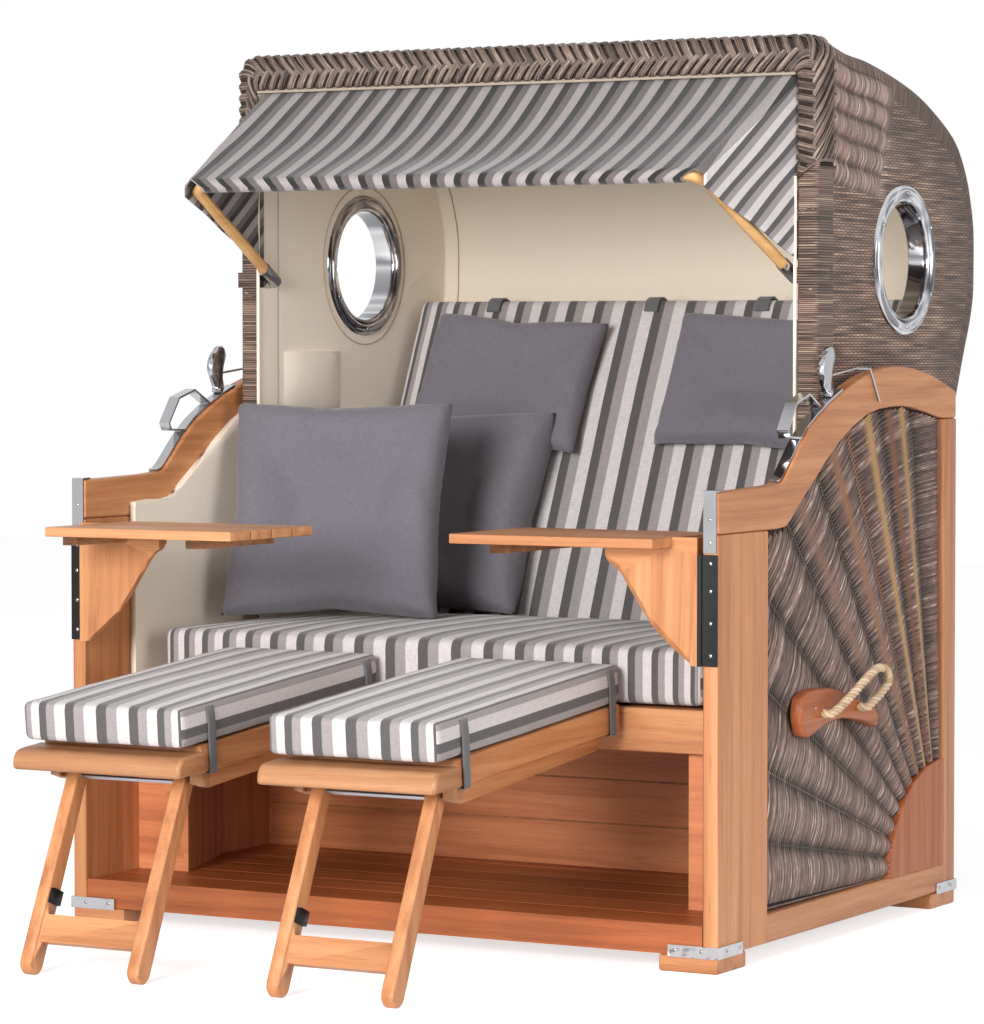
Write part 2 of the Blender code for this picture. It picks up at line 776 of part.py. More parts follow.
def build_side_lining(name):
    """Padded inner panel that follows the arm a little above its lower edge."""
    outer = side_inner() - GAP
    under_arm = part_of_line(arm_bottom(), LINING_FRONT, BASE_DEPTH - STILE_DEPTH)
    upper = [(y, z + LINING_LIFT) for y, z in under_arm]
    first_y, first_z = upper[0]
    rounded = [(first_y, first_z - LINING_CORNER_ROUND), (first_y + LINING_CORNER_ROUND * 0.3,
               first_z - LINING_CORNER_ROUND * 0.3)]
    rest = [point for point in upper if point[0] > first_y + LINING_CORNER_ROUND]
    low = SEAT_TOP + GAP
    outline = [(first_y, low)] + rounded + rest + [(BASE_DEPTH - STILE_DEPTH, low)]
    return extrude(name, outline, 'X', outer - LINING_THICKNESS, outer)


def grooved_line(start, end, boards, level, side):
    """Surface line of grooved boards laid side by side."""
    line = [(start, level)]
    pitch = (end - start) / boards
    for index in range(1, boards):
        middle = start + pitch * index
        line += [(middle - BOARD_GROOVE_WIDTH / 2, level), (middle, level - side * BOARD_GROOVE_DEPTH),
                 (middle + BOARD_GROOVE_WIDTH / 2, level)]
    line.append((end, level))
    return line


def build_floor(name):
    """Bottom boards with the front apron."""
    half = side_inner() - GAP
    back = BASE_DEPTH - REAR_PANEL_THICKNESS - GAP
    top = rail_top()
    under = top - FLOOR_THICKNESS
    front = APRON_SETBACK
    surface = grooved_line(front, back, FLOOR_BOARDS, top, 1)
    outline = surface + [(back, under), (front + APRON_THICKNESS, under),
                         (front + APRON_THICKNESS, FOOT_HEIGHT + GAP), (front, FOOT_HEIGHT + GAP)]
    return extrude(name, outline, 'X', -half, half)


def build_cavity_walls(name):
    """Back wall and slanted cheeks of the footrest store, as one bent wall of boards."""
    half = side_inner() - GAP
    front = SEAT_FRONT + SEAT_RAIL_THICKNESS + GAP
    right = [(CHEEK_FRONT_HALF_WIDTH + CAVITY_WALL, front), (CHEEK_FRONT_HALF_WIDTH, front),
             (half - CAVITY_WALL, CHEEK_END), (half - CAVITY_WALL, CAVITY_BACK)]
    inner = right + [(-x, y) for x, y in right[::-1]]
    back = CAVITY_BACK + CAVITY_WALL
    outer = [(-half, front), (-half, back), (half, back), (half, front)]
    low = rail_top() + GAP
    high = SEAT_TOP - SEAT_DECK_THICKNESS - GAP
    wall = extrude(name, inner + outer, 'Z', low, high)
    pitch = (high - low) / CAVITY_BOARDS
    for index in range(1, CAVITY_BOARDS):
        level = low + pitch * index
        outline = [(CAVITY_BACK - CUT_OVERRUN, level), (CAVITY_BACK, level - BOARD_GROOVE_WIDTH / 2),
                   (CAVITY_BACK + BOARD_GROOVE_DEPTH, level), (CAVITY_BACK, level + BOARD_GROOVE_WIDTH / 2)]
        groove = extrude("groove", outline, 'X', -half + CAVITY_WALL * 1.5, half - CAVITY_WALL * 1.5)
        cut(wall, groove)
    return wall


def build_seat_rail(name):
    half = side_inner() - GAP
    back = SEAT_FRONT + SEAT_RAIL_THICKNESS
    rail = box(name, (-half, SEAT_FRONT, SEAT_TOP - SEAT_RAIL_HEIGHT), (half, back, SEAT_TOP))
    return round_edges(rail, EDGE_ROUND)


def build_seat_deck(name):
    half = side_inner() - GAP
    start = SEAT_FRONT + SEAT_RAIL_THICKNESS + GAP
    surface = grooved_line(start, SEAT_DECK_END, SEAT_DECK_BOARDS, SEAT_TOP, 1)
    under = SEAT_TOP - SEAT_DECK_THICKNESS
    return extrude(name, surface + [(SEAT_DECK_END, under), (start, under)], 'X', -half, half)


def build_rear_panel(name):
    """Framed rear panel with upright wicker ribs."""
    half = side_inner() - GAP
    back = BASE_DEPTH
    front = back - REAR_PANEL_THICKNESS
    low = FOOT_HEIGHT + GAP
    frame = box(name, (-half, front, low), (half, back, REAR_PANEL_TOP))
    opening_half = half - REAR_RAIL_HEIGHT
    opening_low = rail_top()
    opening_high = REAR_PANEL_TOP - REAR_RAIL_HEIGHT
    outline = [(-opening_half, front + REAR_WICKER_INSET), (opening_half, front + REAR_WICKER_INSET)]
    pitch = 2 * opening_half / REAR_RIBS
    depth = back - REAR_WICKER_INSET
    for index in range(REAR_RIBS, 0, -1):
        edge = -opening_half + pitch * index
        outline += [(edge, depth), (edge - pitch / 2, depth + REAR_WICKER_INSET / 2)]
    outline.append((-opening_half, depth))
    ribs = extrude("ribs", outline, 'Z', opening_low - EDGE_ROUND, opening_high + EDGE_ROUND)
    window = box("window", (-opening_half, front - CUT_OVERRUN, opening_low),
                 (opening_half, back + CUT_OVERRUN, opening_high))
    cut(frame, window)
    fuse(frame, bridged(ribs, opening_half))
    return frame


def bridged(ribs, half):
    """Widen the ribbed sheet a little so that it enters the frame's grooves."""
    widen = (half + EDGE_ROUND) / half
    for vertex in ribs.data.vertices:
        vertex.co.x *= widen
    return ribs


def build_foot(name):
    """Foot block with the steel corner bracket screwed to it."""
    outer = BASE_HALF_WIDTH
    block = box(name, (outer - FOOT_LENGTH, 0, 0), (outer, FOOT_LENGTH, FOOT_HEIGHT - GAP))
    return round_edges(block, EDGE_ROUND)


def build_bracket_piece(name):
    """Steel angle round the frame's lower corner, over the foot."""
    near = GAP
    far = GAP + FITTING_THICKNESS
    outer = BASE_HALF_WIDTH
    outline = [(outer - BRACKET_LEG, -near), (outer - BRACKET_LEG, -far), (outer + far, -far),
               (outer + far, BRACKET_LEG), (outer + near, BRACKET_LEG), (outer + near, -near)]
    low = FOOT_HEIGHT - BRACKET_DROP
    return extrude(name, outline, 'Z', low, low + BRACKET_HEIGHT)


def build_foot_with_bracket(name):
    block = build_foot(name)
    angle = build_bracket_piece("angle")
    bridge = box("bridge", (BASE_HALF_WIDTH - BRACKET_LEG / 2, -GAP - FITTING_THICKNESS / 2,
                            FOOT_HEIGHT - BRACKET_DROP + GAP),
                 (BASE_HALF_WIDTH - BRACKET_LEG / 4, GAP + EDGE_ROUND, FOOT_HEIGHT - GAP * 3))
    fuse(angle, bridge)
    return fuse(block, angle)


def handle_point(shares):
    return (HANDLE_FRONT + shares[0] * HANDLE_LENGTH, HANDLE_BOTTOM + shares[1] * HANDLE_HEIGHT)


def handle_inner():
    return BASE_HALF_WIDTH - WICKER_THICKNESS + FLUTE_HEIGHT / 2 + HANDLE_REST


def rope_holes():
    return (handle_point(ROPE_LOOP_SHARES[0]), handle_point(ROPE_LOOP_SHARES[-1]))


def build_handle_board(name):
    """Curved handle board with two rope holes."""
    upper = smooth_line([handle_point(pair) for pair in HANDLE_UPPER_SHARES], 2)
    lower = [handle_point(pair) for pair in HANDLE_LOWER_SHARES]
    inner = handle_inner()
    board = extrude(name, (upper + lower)[::-1], 'X', inner, inner + HANDLE_THICKNESS)
    round_edges(board, HANDLE_EDGE_ROUND, 1, math.radians(60))
    for hole in rope_holes():
        start = inner + HANDLE_THICKNESS * ROPE_HOLE_SHARE
        end = inner + HANDLE_THICKNESS + CUT_OVERRUN
        cutter = cylinder("hole", 'X', hole, ROPE_RADIUS + ROPE_HOLE_CLEARANCE, start, end, 16)
        cut(board, cutter)
    return board


def build_rope(name):
    """Loop of rope with its ends knotted into the board."""
    face = handle_inner() + HANDLE_THICKNESS
    start = handle_inner() + HANDLE_THICKNESS * ROPE_HOLE_SHARE + GAP
    ends = [(start, *rope_holes()[0]), (face, *rope_holes()[0]), (face + ROPE_RADIUS * 2, *rope_holes()[0])]
    route = []
    for pair, lift in zip(ROPE_LOOP_SHARES[1:-1], ROPE_LIFT_SHARES[1:-1]):
        route.append((face + ROPE_RADIUS * 2 + (ROPE_STANDOFF - ROPE_RADIUS) * lift, *handle_point(pair)))
    ends_after = [(x, *rope_holes()[1]) for x in (face + ROPE_RADIUS * 2, face, start)]
    return tube(name, ends + route + ends_after, ROPE_RADIUS, 2, ROPE_STEPS)


def build_arm_strap(name):
    """Steel strap down the post's front and over the arm's end."""
    top = ARM_UNDERSIDE + ARM_HEIGHT
    line = [(-GAP, top - STRAP_DROP), (-GAP, top + GAP), (STRAP_RETURN, top + GAP * 4)]
    outline = ribbon(line, FITTING_THICKNESS)
    centre = BASE_HALF_WIDTH - FRAME_THICKNESS / 2
    return extrude(name, outline, 'X', centre - STRAP_WIDTH / 2, centre + STRAP_WIDTH / 2)


def arm_run(start, end, lift):
    """Part of the arm's upper line, raised square to it."""
    return offset_line(part_of_line(arm_top(), start, end), lift)


def carry_line():
    """Route of the flat carrying handle over the rail."""
    rail = part_of_line(arm_top(), CARRY_START, CARRY_START + CARRY_LENGTH)
    start = Vector(rail[0])
    along = (Vector(rail[-1]) - start)
    up = Vector((-along.y, along.x)).normalized() * CARRY_REACH
    base = up.normalized() * (GAP + RAIL_THICKNESS * CARRY_SEAT_SHARE)
    return [tuple(start + base + along * pair[0] + up * pair[1]) for pair in CARRY_SHARES]


def build_arm_fitting(name):
    """Sliding rail on the arm's slope with the flat carrying handle."""
    centre = BASE_HALF_WIDTH - FRAME_THICKNESS / 2
    seat = arm_run(RAIL_START, RAIL_END, GAP)
    rail = extrude(name, ribbon(seat, RAIL_THICKNESS), 'X', centre - RAIL_WIDTH / 2, centre + RAIL_WIDTH / 2)
    handle = extrude("handle", ribbon(carry_line(), CARRY_BAND), 'X', centre - CARRY_WIDTH / 2,
                     centre + CARRY_WIDTH / 2)
    return fuse(rail, handle)


def latch_axis():
    """Depth and height of the latch lever's axis over the rail."""
    place = arm_run(LATCH_PLACE - LATCH_WIDTH, LATCH_PLACE + LATCH_WIDTH, GAP * 2 + RAIL_THICKNESS
                    + LATCH_BARREL_RADIUS)
    return place[len(place) // 2]


def build_latch(name):
    """Crescent lever with its wire bail hooked over the arm's side."""
    depth, height = latch_axis()
    centre = BASE_HALF_WIDTH - FRAME_THICKNESS / 2
    outline = [(depth + y * LATCH_DEPTH, height + z * LATCH_HEIGHT) for y, z in LATCH_LEVER_SHARES]
    lever = extrude(name, smooth_line(outline + outline[:1], 2)[:-1], 'X', centre - LATCH_WIDTH / 2,
                    centre + LATCH_WIDTH / 2)
    barrel = cylinder("barrel", 'X', (depth, height), LATCH_BARREL_RADIUS, centre - RAIL_WIDTH / 2,
                      centre + RAIL_WIDTH / 2, 12)
    outside = BASE_HALF_WIDTH + BAIL_RADIUS + BAIL_SIDE_CLEARANCE
    shoulder = depth + BAIL_REACH
    crest = height_on(arm_top(), shoulder) + BAIL_RISE
    route = [(centre, depth + LATCH_DEPTH * 0.05, height + LATCH_HEIGHT * 0.42),
             (centre, shoulder - BAIL_RISE, crest), (outside, shoulder, crest),
             (outside, shoulder + BAIL_DROP * 0.7, crest - BAIL_DROP)]
    bail = tube("bail", route, BAIL_RADIUS, 1)
    return fuse(lever, barrel, bail)


def table_axis():
    """Sideways place and depth of the table hinge."""
    return (side_inner() - TABLE_HINGE_OFFSET, -TABLE_BARREL_RADIUS - GAP)


def build_post_hinge(name):
    """Hinge leaf on the post's front with the barrel."""
    axis_x, axis_y = table_axis()
    low = TABLE_HINGE_LOW
    high = low + TABLE_HINGE_HEIGHT
    leaf = box(name, (axis_x, -GAP - FITTING_THICKNESS, low), (BASE_HALF_WIDTH - GAP, -GAP, high))
    barrel = cylinder("barrel", 'Z', (axis_x, axis_y), TABLE_BARREL_RADIUS, low, high, 12)
    return fuse(leaf, barrel)


def build_table_bracket(name):
    """Right bracket board with its curved lower edge, its beam and its hinge leaf."""
    axis_x = table_axis()[0]
    edge = axis_x - TABLE_BARREL_RADIUS - GAP
    board_edge = edge - EDGE_ROUND
    under = TABLE_TOP_HEIGHT - TABLE_TOP_THICKNESS - GAP
    beam_low = under - BRACKET_BEAM
    drop = beam_low - TABLE_HINGE_LOW
    curve = [(board_edge - BRACKET_REACH * along, beam_low - drop * down)
             for along, down in BRACKET_CURVE_SHARES]
    curve = smooth_line(curve, 2)
    shoulder = TABLE_OUTER + GAP
    outline = [(board_edge, TABLE_HINGE_LOW), (board_edge, TABLE_TOP_HEIGHT), (shoulder, TABLE_TOP_HEIGHT),
               (shoulder, under), (board_edge - BRACKET_REACH, under)] + curve
    board = extrude(name, outline, 'Y', 0, BRACKET_BOARD)
    chamfer_line = [(board_edge - BRACKET_REACH - CUT_OVERRUN, beam_low)] + curve \
        + [(board_edge, TABLE_HINGE_LOW - CUT_OVERRUN)]
    cut(board, chamfer_cutter(chamfer_line))
    low = TABLE_HINGE_LOW
    leaf = box("leaf", (edge - TABLE_LEAF_WIDTH, table_axis()[1], low),
               (edge, FITTING_THICKNESS / 3, low + TABLE_HINGE_HEIGHT))
    return fuse(board, leaf)


def chamfer_cutter(line):
    """Sloped cutter along the bracket's curved front edge."""
    shape = bmesh.new()
    rows = []
    inward = offset_line(line, BRACKET_CHAMFER)
    outward = offset_line(line, -BRACKET_CHAMFER)
    for inner, outer in zip(inward, outward):
        rows.append([shape.verts.new((inner[0], -GAP, inner[1])),
                     shape.verts.new((outer[0], BRACKET_BOARD * 0.9, outer[1])),
                     shape.verts.new((outer[0], -CUT_OVERRUN, outer[1])),
                     shape.verts.new((inner[0], -CUT_OVERRUN, inner[1]))])
    for row, after in zip(rows, rows[1:]):
        for index in range(4):
            follow = (index + 1) % 4
            shape.faces.new((row[index], row[follow], after[follow], after[index]))
    shape.faces.new(rows[0])
    shape.faces.new(rows[-1][::-1])
    return from_bmesh("chamfer", shape)


def build_table_top(name):
    """Right table top: slats split by slots at the free end, on two battens."""
    inner = TABLE_OUTER - TABLE_LENGTH
    low = TABLE_TOP_HEIGHT - TABLE_TOP_THICKNESS
    front = -TABLE_FRONT
    back = front + TABLE_DEPTH
    pitch = TABLE_DEPTH / TABLE_SLATS
    outline = [(inner, front)]
    for index in range(1, TABLE_SLATS):
        middle = front + pitch * index
        near, far = middle - TABLE_SLOT_WIDTH / 2, middle + TABLE_SLOT_WIDTH / 2
        slot_end = inner + TABLE_SLOT_LENGTH
        outline += [(inner, near), (slot_end, near), (slot_end, far), (inner, far)]
    outline += [(inner, back), (TABLE_OUTER, back), (TABLE_OUTER, front)]
    top = extrude(name, outline[::-1], 'Z', low, TABLE_TOP_HEIGHT)
    round_edges(top, EDGE_ROUND / 2)
    beam_side = BRACKET_BOARD + GAP
    for near_x in (inner + TABLE_SLOT_LENGTH + GAP, TABLE_OUTER - TABLE_BATTEN_INSET - TABLE_BATTEN_WIDTH):
        start = beam_side if near_x + TABLE_BATTEN_WIDTH > table_axis()[0] - BRACKET_REACH else front \
            + TABLE_BATTEN_INSET / 2
        batten = box("batten", (near_x, start, low - TABLE_BATTEN_HEIGHT),
                     (near_x + TABLE_BATTEN_WIDTH, back - TABLE_BATTEN_INSET / 2, low + EDGE_ROUND))
        fuse(top, batten)
    return top


def build_tables():
    """Right table, and the same table turned half a turn on the left post."""
    turn = Matrix.Translation((0, table_axis()[1], 0)) @ Matrix.Rotation(math.pi, 4, 'Z') \
        @ Matrix.Translation((0, -table_axis()[1], 0))
    for build, name in ((build_table_bracket, "table_bracket"), (build_table_top, "table_top")):
        right = build(name + "_right")
        give_material(right, name + "_right", WOOD)
        moved_copy(right, name + "_left", WOOD, turn)
    both_sides(build_post_hinge, "post_hinge", BLACK_STEEL)


def footrest_place(centre):
    """Frame with X across, Y along the footrest to its front and Z square to its top."""
    across = Vector((1, 0, 0))
    forward = Vector((0, -math.cos(FOOTREST_TILT), -math.sin(FOOTREST_TILT)))
    upward = Vector((0, -math.sin(FOOTREST_TILT), math.cos(FOOTREST_TILT)))
    turn = Matrix((across, forward, upward)).transposed().to_4x4()
    pivot = Vector((centre, SEAT_FRONT - FOOTREST_BARREL_RADIUS - GAP, FOOTREST_PIVOT_HEIGHT))
    return Matrix.Translation(pivot) @ turn


def placed(item, place):
    item.data.transform(place)
    if place.determinant() < 0:
        item.data.flip_normals()
    return item


def build_footrest_frame():
    """Footrest frame in its own axes: rails, nosing board, slats and runners."""
    half = FOOTREST_HALF_WIDTH
    inner = half - FOOTREST_RAIL_WIDTH
    rear = FOOTREST_BARREL_RADIUS + GAP
    frame = box("frame", (-half, rear, 0), (half, FOOTREST_LENGTH + EDGE_ROUND, FOOTREST_RAIL_HEIGHT))
    round_edges(frame, EDGE_ROUND)
    cut(frame, box("well", (-inner, rear + FOOTREST_RAIL_WIDTH, -CUT_OVERRUN),
                   (inner, FOOTREST_LENGTH, FOOTREST_RAIL_HEIGHT + CUT_OVERRUN)))
    pitch = (FOOTREST_LENGTH - rear - FOOTREST_RAIL_WIDTH) / SLAT_COUNT
    for index in range(SLAT_COUNT):
        middle = rear + FOOTREST_RAIL_WIDTH + pitch * (index + 0.5)
        top = FOOTREST_RAIL_HEIGHT - EDGE_ROUND
        slat = box("slat", (-inner - EDGE_ROUND, middle - SLAT_WIDTH / 2, top - SLAT_THICKNESS),
                   (inner + EDGE_ROUND, middle + SLAT_WIDTH / 2, top))
        fuse(frame, slat)
    nose = [(FOOTREST_LENGTH + NOSE_DEPTH * along, FOOTREST_RAIL_HEIGHT - NOSE_DROP - NOSE_HEIGHT
             + NOSE_HEIGHT * up) for along, up in NOSE_ROUND_SHARES]
    nose_low = FOOTREST_RAIL_HEIGHT - NOSE_DROP - NOSE_HEIGHT
    nose += [(FOOTREST_LENGTH, nose_low + NOSE_HEIGHT), (FOOTREST_LENGTH, nose_low)]
    nosing = extrude("nosing", nose, 'X', -half - NOSE_OVERHANG, half + NOSE_OVERHANG)
    fuse(frame, round_edges(nosing, EDGE_ROUND * 2, 2, math.radians(60)))
    for side in (-1, 1):
        fuse(frame, footrest_runner(side))
    for strap_start in (FOOT_STRAP_FRONT, FOOT_STRAP_REAR):
        slot = box("slot", (-half, strap_start - GAP * 2, -FOOT_STRAP_THICKNESS - GAP * 3),
                   (half, strap_start + FOOT_STRAP_WIDTH + GAP * 2, 0))
        cut(frame, slot)
    barrel = cylinder("barrel", 'X', (0, 0), FOOTREST_BARREL_RADIUS, -FOOTREST_BARREL_LENGTH / 2,
                      FOOTREST_BARREL_LENGTH / 2, 12)
    tongue = box("tongue", (-FOOTREST_BARREL_LENGTH / 2, 0, 0), (FOOTREST_BARREL_LENGTH / 2,
                                                                   rear + EDGE_ROUND, FITTING_THICKNESS))
    return fuse(frame, barrel, tongue)


def footrest_runner(side):
    """Strip under one rail that carries the leg rod's end."""
    outer = FOOTREST_HALF_WIDTH - RUNNER_INSET
    inner = outer - RUNNER_WIDTH
    end = FOOTREST_LENGTH
    outline = [(RUNNER_START, EDGE_ROUND), (RUNNER_START + RUNNER_HEIGHT / 2, -RUNNER_HEIGHT * 0.8),
               (end - RUNNER_HEIGHT, -RUNNER_HEIGHT), (end, -RUNNER_HEIGHT * 0.6), (end, EDGE_ROUND)]
    low, high = sorted((side * inner, side * outer))
    strip = extrude("runner", outline, 'X', low, high)
    reach = side * (inner + RUNNER_WIDTH * 0.6)
    start = side * (inner - CUT_OVERRUN)
    pivot = (FOOTREST_LENGTH - LEG_PIVOT_INSET, -LEG_PIVOT_DROP)
    radius = LEG_ROD_RADIUS + LEG_ROD_CLEARANCE
    bore = cylinder("bore", 'X', pivot, radius, min(start, reach), max(start, reach), 12)
    return cut(strip, bore)


def footrest_well_half():
    return FOOTREST_HALF_WIDTH - RUNNER_INSET - RUNNER_WIDTH


def leg_vector():
    """From the leg rod to the foot's tip, in the chair's depth and height."""
    pivot = footrest_place(0) @ Vector((0, FOOTREST_LENGTH - LEG_PIVOT_INSET, -LEG_PIVOT_DROP))
    return Vector((0, -LEG_FOOT_ADVANCE, -pivot.z)), pivot


def build_footrest_legs(name, centre):
    """Pair of legs with their crossbar, pivot rod and folding catches."""
    reach, pivot = leg_vector()
    length = reach.length
    down = reach.normalized()
    ahead = Vector((0, down.z, -down.y))
    turn = Matrix((Vector((1, 0, 0)), ahead, down)).transposed().to_4x4()
    place = Matrix.Translation(Vector((centre, pivot.y, pivot.z))) @ turn
    half = LEG_DEPTH / 2
    foot_half = half + LEG_FLARE
    outline = rounded_end(0, half, -1) + rounded_end(length - foot_half, foot_half, 1)
    legs = extrude(name, outline, 'X', LEG_SPREAD - LEG_WIDTH / 2, LEG_SPREAD + LEG_WIDTH / 2)
    legs = round_edges(legs, EDGE_ROUND, 1, math.radians(60))
    other = moved_copy(legs, "other leg", WOOD, Matrix.Scale(-1, 4, Vector((1, 0, 0))))
    bar_low = length - LEG_BAR_LOW - LEG_BAR_HEIGHT
    bar = box("bar", (-LEG_SPREAD, -LEG_BAR_THICKNESS / 2, bar_low),
              (LEG_SPREAD, LEG_BAR_THICKNESS / 2, bar_low + LEG_BAR_HEIGHT))
    rod_half = footrest_well_half() + RUNNER_WIDTH * 0.6 - LEG_ROD_CLEARANCE
    rod = cylinder("rod", 'X', (0, 0), LEG_ROD_RADIUS, -rod_half, rod_half, 12)
    fuse(legs, other, bar, rod)
    catch_low = length - LEG_CATCH_HEIGHT
    catch_x = -LEG_SPREAD + LEG_WIDTH / 2
    fuse(legs, box("catch", (catch_x - EDGE_ROUND, -LEG_CATCH_SIZE / 2, catch_low),
                   (catch_x + LEG_CATCH_THICKNESS, LEG_CATCH_SIZE / 2, catch_low + LEG_CATCH_SIZE)))
    placed(legs, place)
    lowest = min(vertex.co.z for vertex in legs.data.vertices)
    stretch = pivot.z / (pivot.z - lowest)
    for vertex in legs.data.vertices:
        vertex.co.z = pivot.z + (vertex.co.z - pivot.z) * stretch
    return legs


def rounded_end(centre, radius, direction):
    """Half circle that closes one end of a leg's outline."""
    points = []
    steps = 8
    for index in range(steps + 1):
        angle = math.pi * index / steps
        points.append((direction * radius * math.cos(angle), centre + direction * radius * math.sin(angle)))
    return points


def build_foot_cushion(name):
    """Boxed footrest cushion with its two webbing straps sewn on."""
    edge = FOOT_CUSHION_THICKNESS * 0.86
    crown = (FOOT_CUSHION_THICKNESS - edge) / 2
    low = FOOTREST_RAIL_HEIGHT + GAP
    place = Matrix.Translation((0, FOOT_CUSHION_LENGTH / 2, low + FOOT_CUSHION_THICKNESS / 2))
    cushion = pad(name, 2 * FOOT_CUSHION_HALF_WIDTH, FOOT_CUSHION_LENGTH, edge, crown, 0.008, (6, 10), place)
    for start in (FOOT_STRAP_FRONT, FOOT_STRAP_REAR):
        fuse(cushion, footrest_strap(start))
    return cushion


def footrest_strap(start):
    inner = FOOTREST_HALF_WIDTH + GAP
    outer = inner + FOOT_STRAP_THICKNESS
    low = -FOOT_STRAP_THICKNESS - GAP
    rise = FOOT_STRAP_RISE
    outline = [(-outer, rise), (-outer, low), (outer, low), (outer, rise), (inner, rise), (inner, -GAP),
               (-inner, -GAP), (-inner, rise)]
    return extrude("strap", outline, 'Y', start, start + FOOT_STRAP_WIDTH)


def build_footrests():
    for side, name in ((-1, "left"), (1, "right")):
        place = footrest_place(side * FOOTREST_CENTRE)
        frame = placed(build_footrest_frame(), place)
        frame.name = "footrest_frame_" + name
        give_material(frame, frame.name, WOOD)
        cushion = placed(build_foot_cushion("footrest_cushion_" + name), place)
        give_material(cushion, cushion.name, STRIPE)
        legs = build_footrest_legs("footrest_legs_" + name, side * FOOTREST_CENTRE)
        give_material(legs, legs.name, WOOD)


def hood_profile():
    """Outer line of the hood's roof and back, from the rim round to the tail."""
    bottom = HOOD_HEIGHT - HOOD_PROFILE_HEIGHT
    points = [(HOOD_FRONT + along * HOOD_DEPTH, bottom + up * HOOD_PROFILE_HEIGHT)
              for along, up in HOOD_PROFILE_SHARES]
    points[0] = (HOOD_FRONT + RIM_DEPTH + GAP, HOOD_HEIGHT)
    return smooth_line(points, 2) + [(HOOD_TAIL, HOOD_TAIL_BOTTOM)]


def hood_level(share):
    """Height inside the hood, as a share of the way from the arm's front end up to the roof."""
    arm = ARM_UNDERSIDE + ARM_HEIGHT
    return arm + (HOOD_HEIGHT - arm) * share


def hood_surface(shape, inset):
    """Add one face of the hood and return its rim of vertices, in order."""
    half = HOOD_HALF_WIDTH - inset
    front = HOOD_FRONT + RIM_DEPTH + GAP
    profile = offset_line(hood_profile(), -inset)
    radius = max(HOOD_ROUND - inset, HOOD_LEAST_ROUND)
    columns = []
    for index in range(HOOD_ROUND_STEPS + 1):
        angle = math.pi / 2 * index / HOOD_ROUND_STEPS
        line = offset_line(profile, -radius * (1 - math.sin(angle)))
        line[0] = (front, line[0][1])
        columns.append((half - radius * (1 - math.cos(angle)), line))
    rows = []
    for x, line in columns + [(-x, line) for x, line in columns[::-1]]:
        rows.append([shape.verts.new((x, y, z)) for y, z in line])
    for row, after in zip(rows, rows[1:]):
        for index in range(len(row) - 1):
            shape.faces.new((row[index], row[index + 1], after[index + 1], after[index]))
    right = shape.verts.new((half, front, HOOD_BOTTOM))
    left = shape.verts.new((-half, front, HOOD_BOTTOM))
    shape.faces.new([right] + rows[0][::-1])
    shape.faces.new([left] + rows[-1])
    return [right] + [row[0] for row in rows] + [left] + [row[-1] for row in rows[::-1]]


def build_hood_layer(name, inset, thickness):
    """One open-fronted layer of the hood: two sides joined by a rounded roof and back."""
    shape = bmesh.new()
    outer = hood_surface(shape, inset)
    inner = hood_surface(shape, inset + thickness)
    count = len(outer)
    for index in range(count):
        after = (index + 1) % count
        shape.faces.new((outer[index], outer[after], inner[after], inner[index]))
    layer = from_bmesh(name, shape)
    bore = PORTHOLE_BORE_RADIUS + PORTHOLE_TUBE + GAP
    reach = HOOD_HALF_WIDTH + CUT_OVERRUN
    window = (PORTHOLE_DEPTH, hood_level(PORTHOLE_LEVEL_SHARE))
    cut(layer, cylinder("porthole", 'X', window, bore, -reach, reach, PORTHOLE_SIDES))
    hole = PIVOT_RADIUS + PIVOT_CLEARANCE
    cut(layer, cylinder("pivot", 'X', (PIVOT_DEPTH, PIVOT_HEIGHT), hole, -reach, reach))
    return layer


def build_hood():
    shell = build_hood_layer("hood_shell", 0, HOOD_SHELL)
    give_material(shell, "hood_shell", WICKER)
    lining = build_hood_layer("hood_lining", HOOD_SHELL + GAP, HOOD_LINING)
    fuse(lining, build_pocket("pocket"))
    give_material(lining, "hood_lining", CREAM)
    rim = build_rim("hood_rim")
    give_material(rim, "hood_rim", WICKER)
    return [lining, rim]


def lining_inner():
    return HOOD_HALF_WIDTH - HOOD_SHELL - GAP - HOOD_LINING


def build_pocket(name):
    """Gathered pocket that swells from the left lining."""
    face = -lining_inner()
    shape = bmesh.new()
    front_rows = []
    back_rows = []
    across, upward = 8, 4
    for row in range(upward + 1):
        v = row / upward
        front = []
        back = []
        for column in range(across + 1):
            u = column / across
            belly = math.sin(math.pi * min(0.25 + 0.75 * (1 - v), 1))
            swell = math.sin(math.pi * u) ** 0.5 * (0.25 + 0.75 * belly)
            folds = 1 + 0.12 * math.cos(8 * math.pi * u) * v
            y = POCKET_DEPTH + POCKET_LENGTH * u
            z = hood_level(POCKET_LEVEL_SHARE) + POCKET_HEIGHT * v
            front.append(shape.verts.new((face + POCKET_BULGE * 0.12 + POCKET_BULGE * swell * folds, y, z)))
            back.append(shape.verts.new((face - HOOD_LINING * 0.2, y, z)))
        front_rows.append(front)
        back_rows.append(back)
    skin_between(shape, front_rows, back_rows)
    return from_bmesh(name, shape)


def rim_section():
    """Cross section of the rim: inner offset and depth, with rounded corners."""
    corner = RIM_WIDTH * 0.28
    points = []
    for centre, start in (((RIM_WIDTH - corner, HOOD_FRONT + corner), -90),
                          ((RIM_WIDTH - corner, HOOD_FRONT + RIM_DEPTH - corner), 0),
                          ((corner * 0.5, HOOD_FRONT + RIM_DEPTH - corner * 0.5), 90),
                          ((corner * 0.5, HOOD_FRONT + corner * 0.5), 180)):
        radius = corner if centre[0] > corner else corner * 0.5
        for step in range(RIM_SIDES + 1):
            angle = math.radians(start + 90 * step / RIM_SIDES)
            points.append((centre[0] + radius * math.cos(angle), centre[1] + radius * math.sin(angle)))
    return points


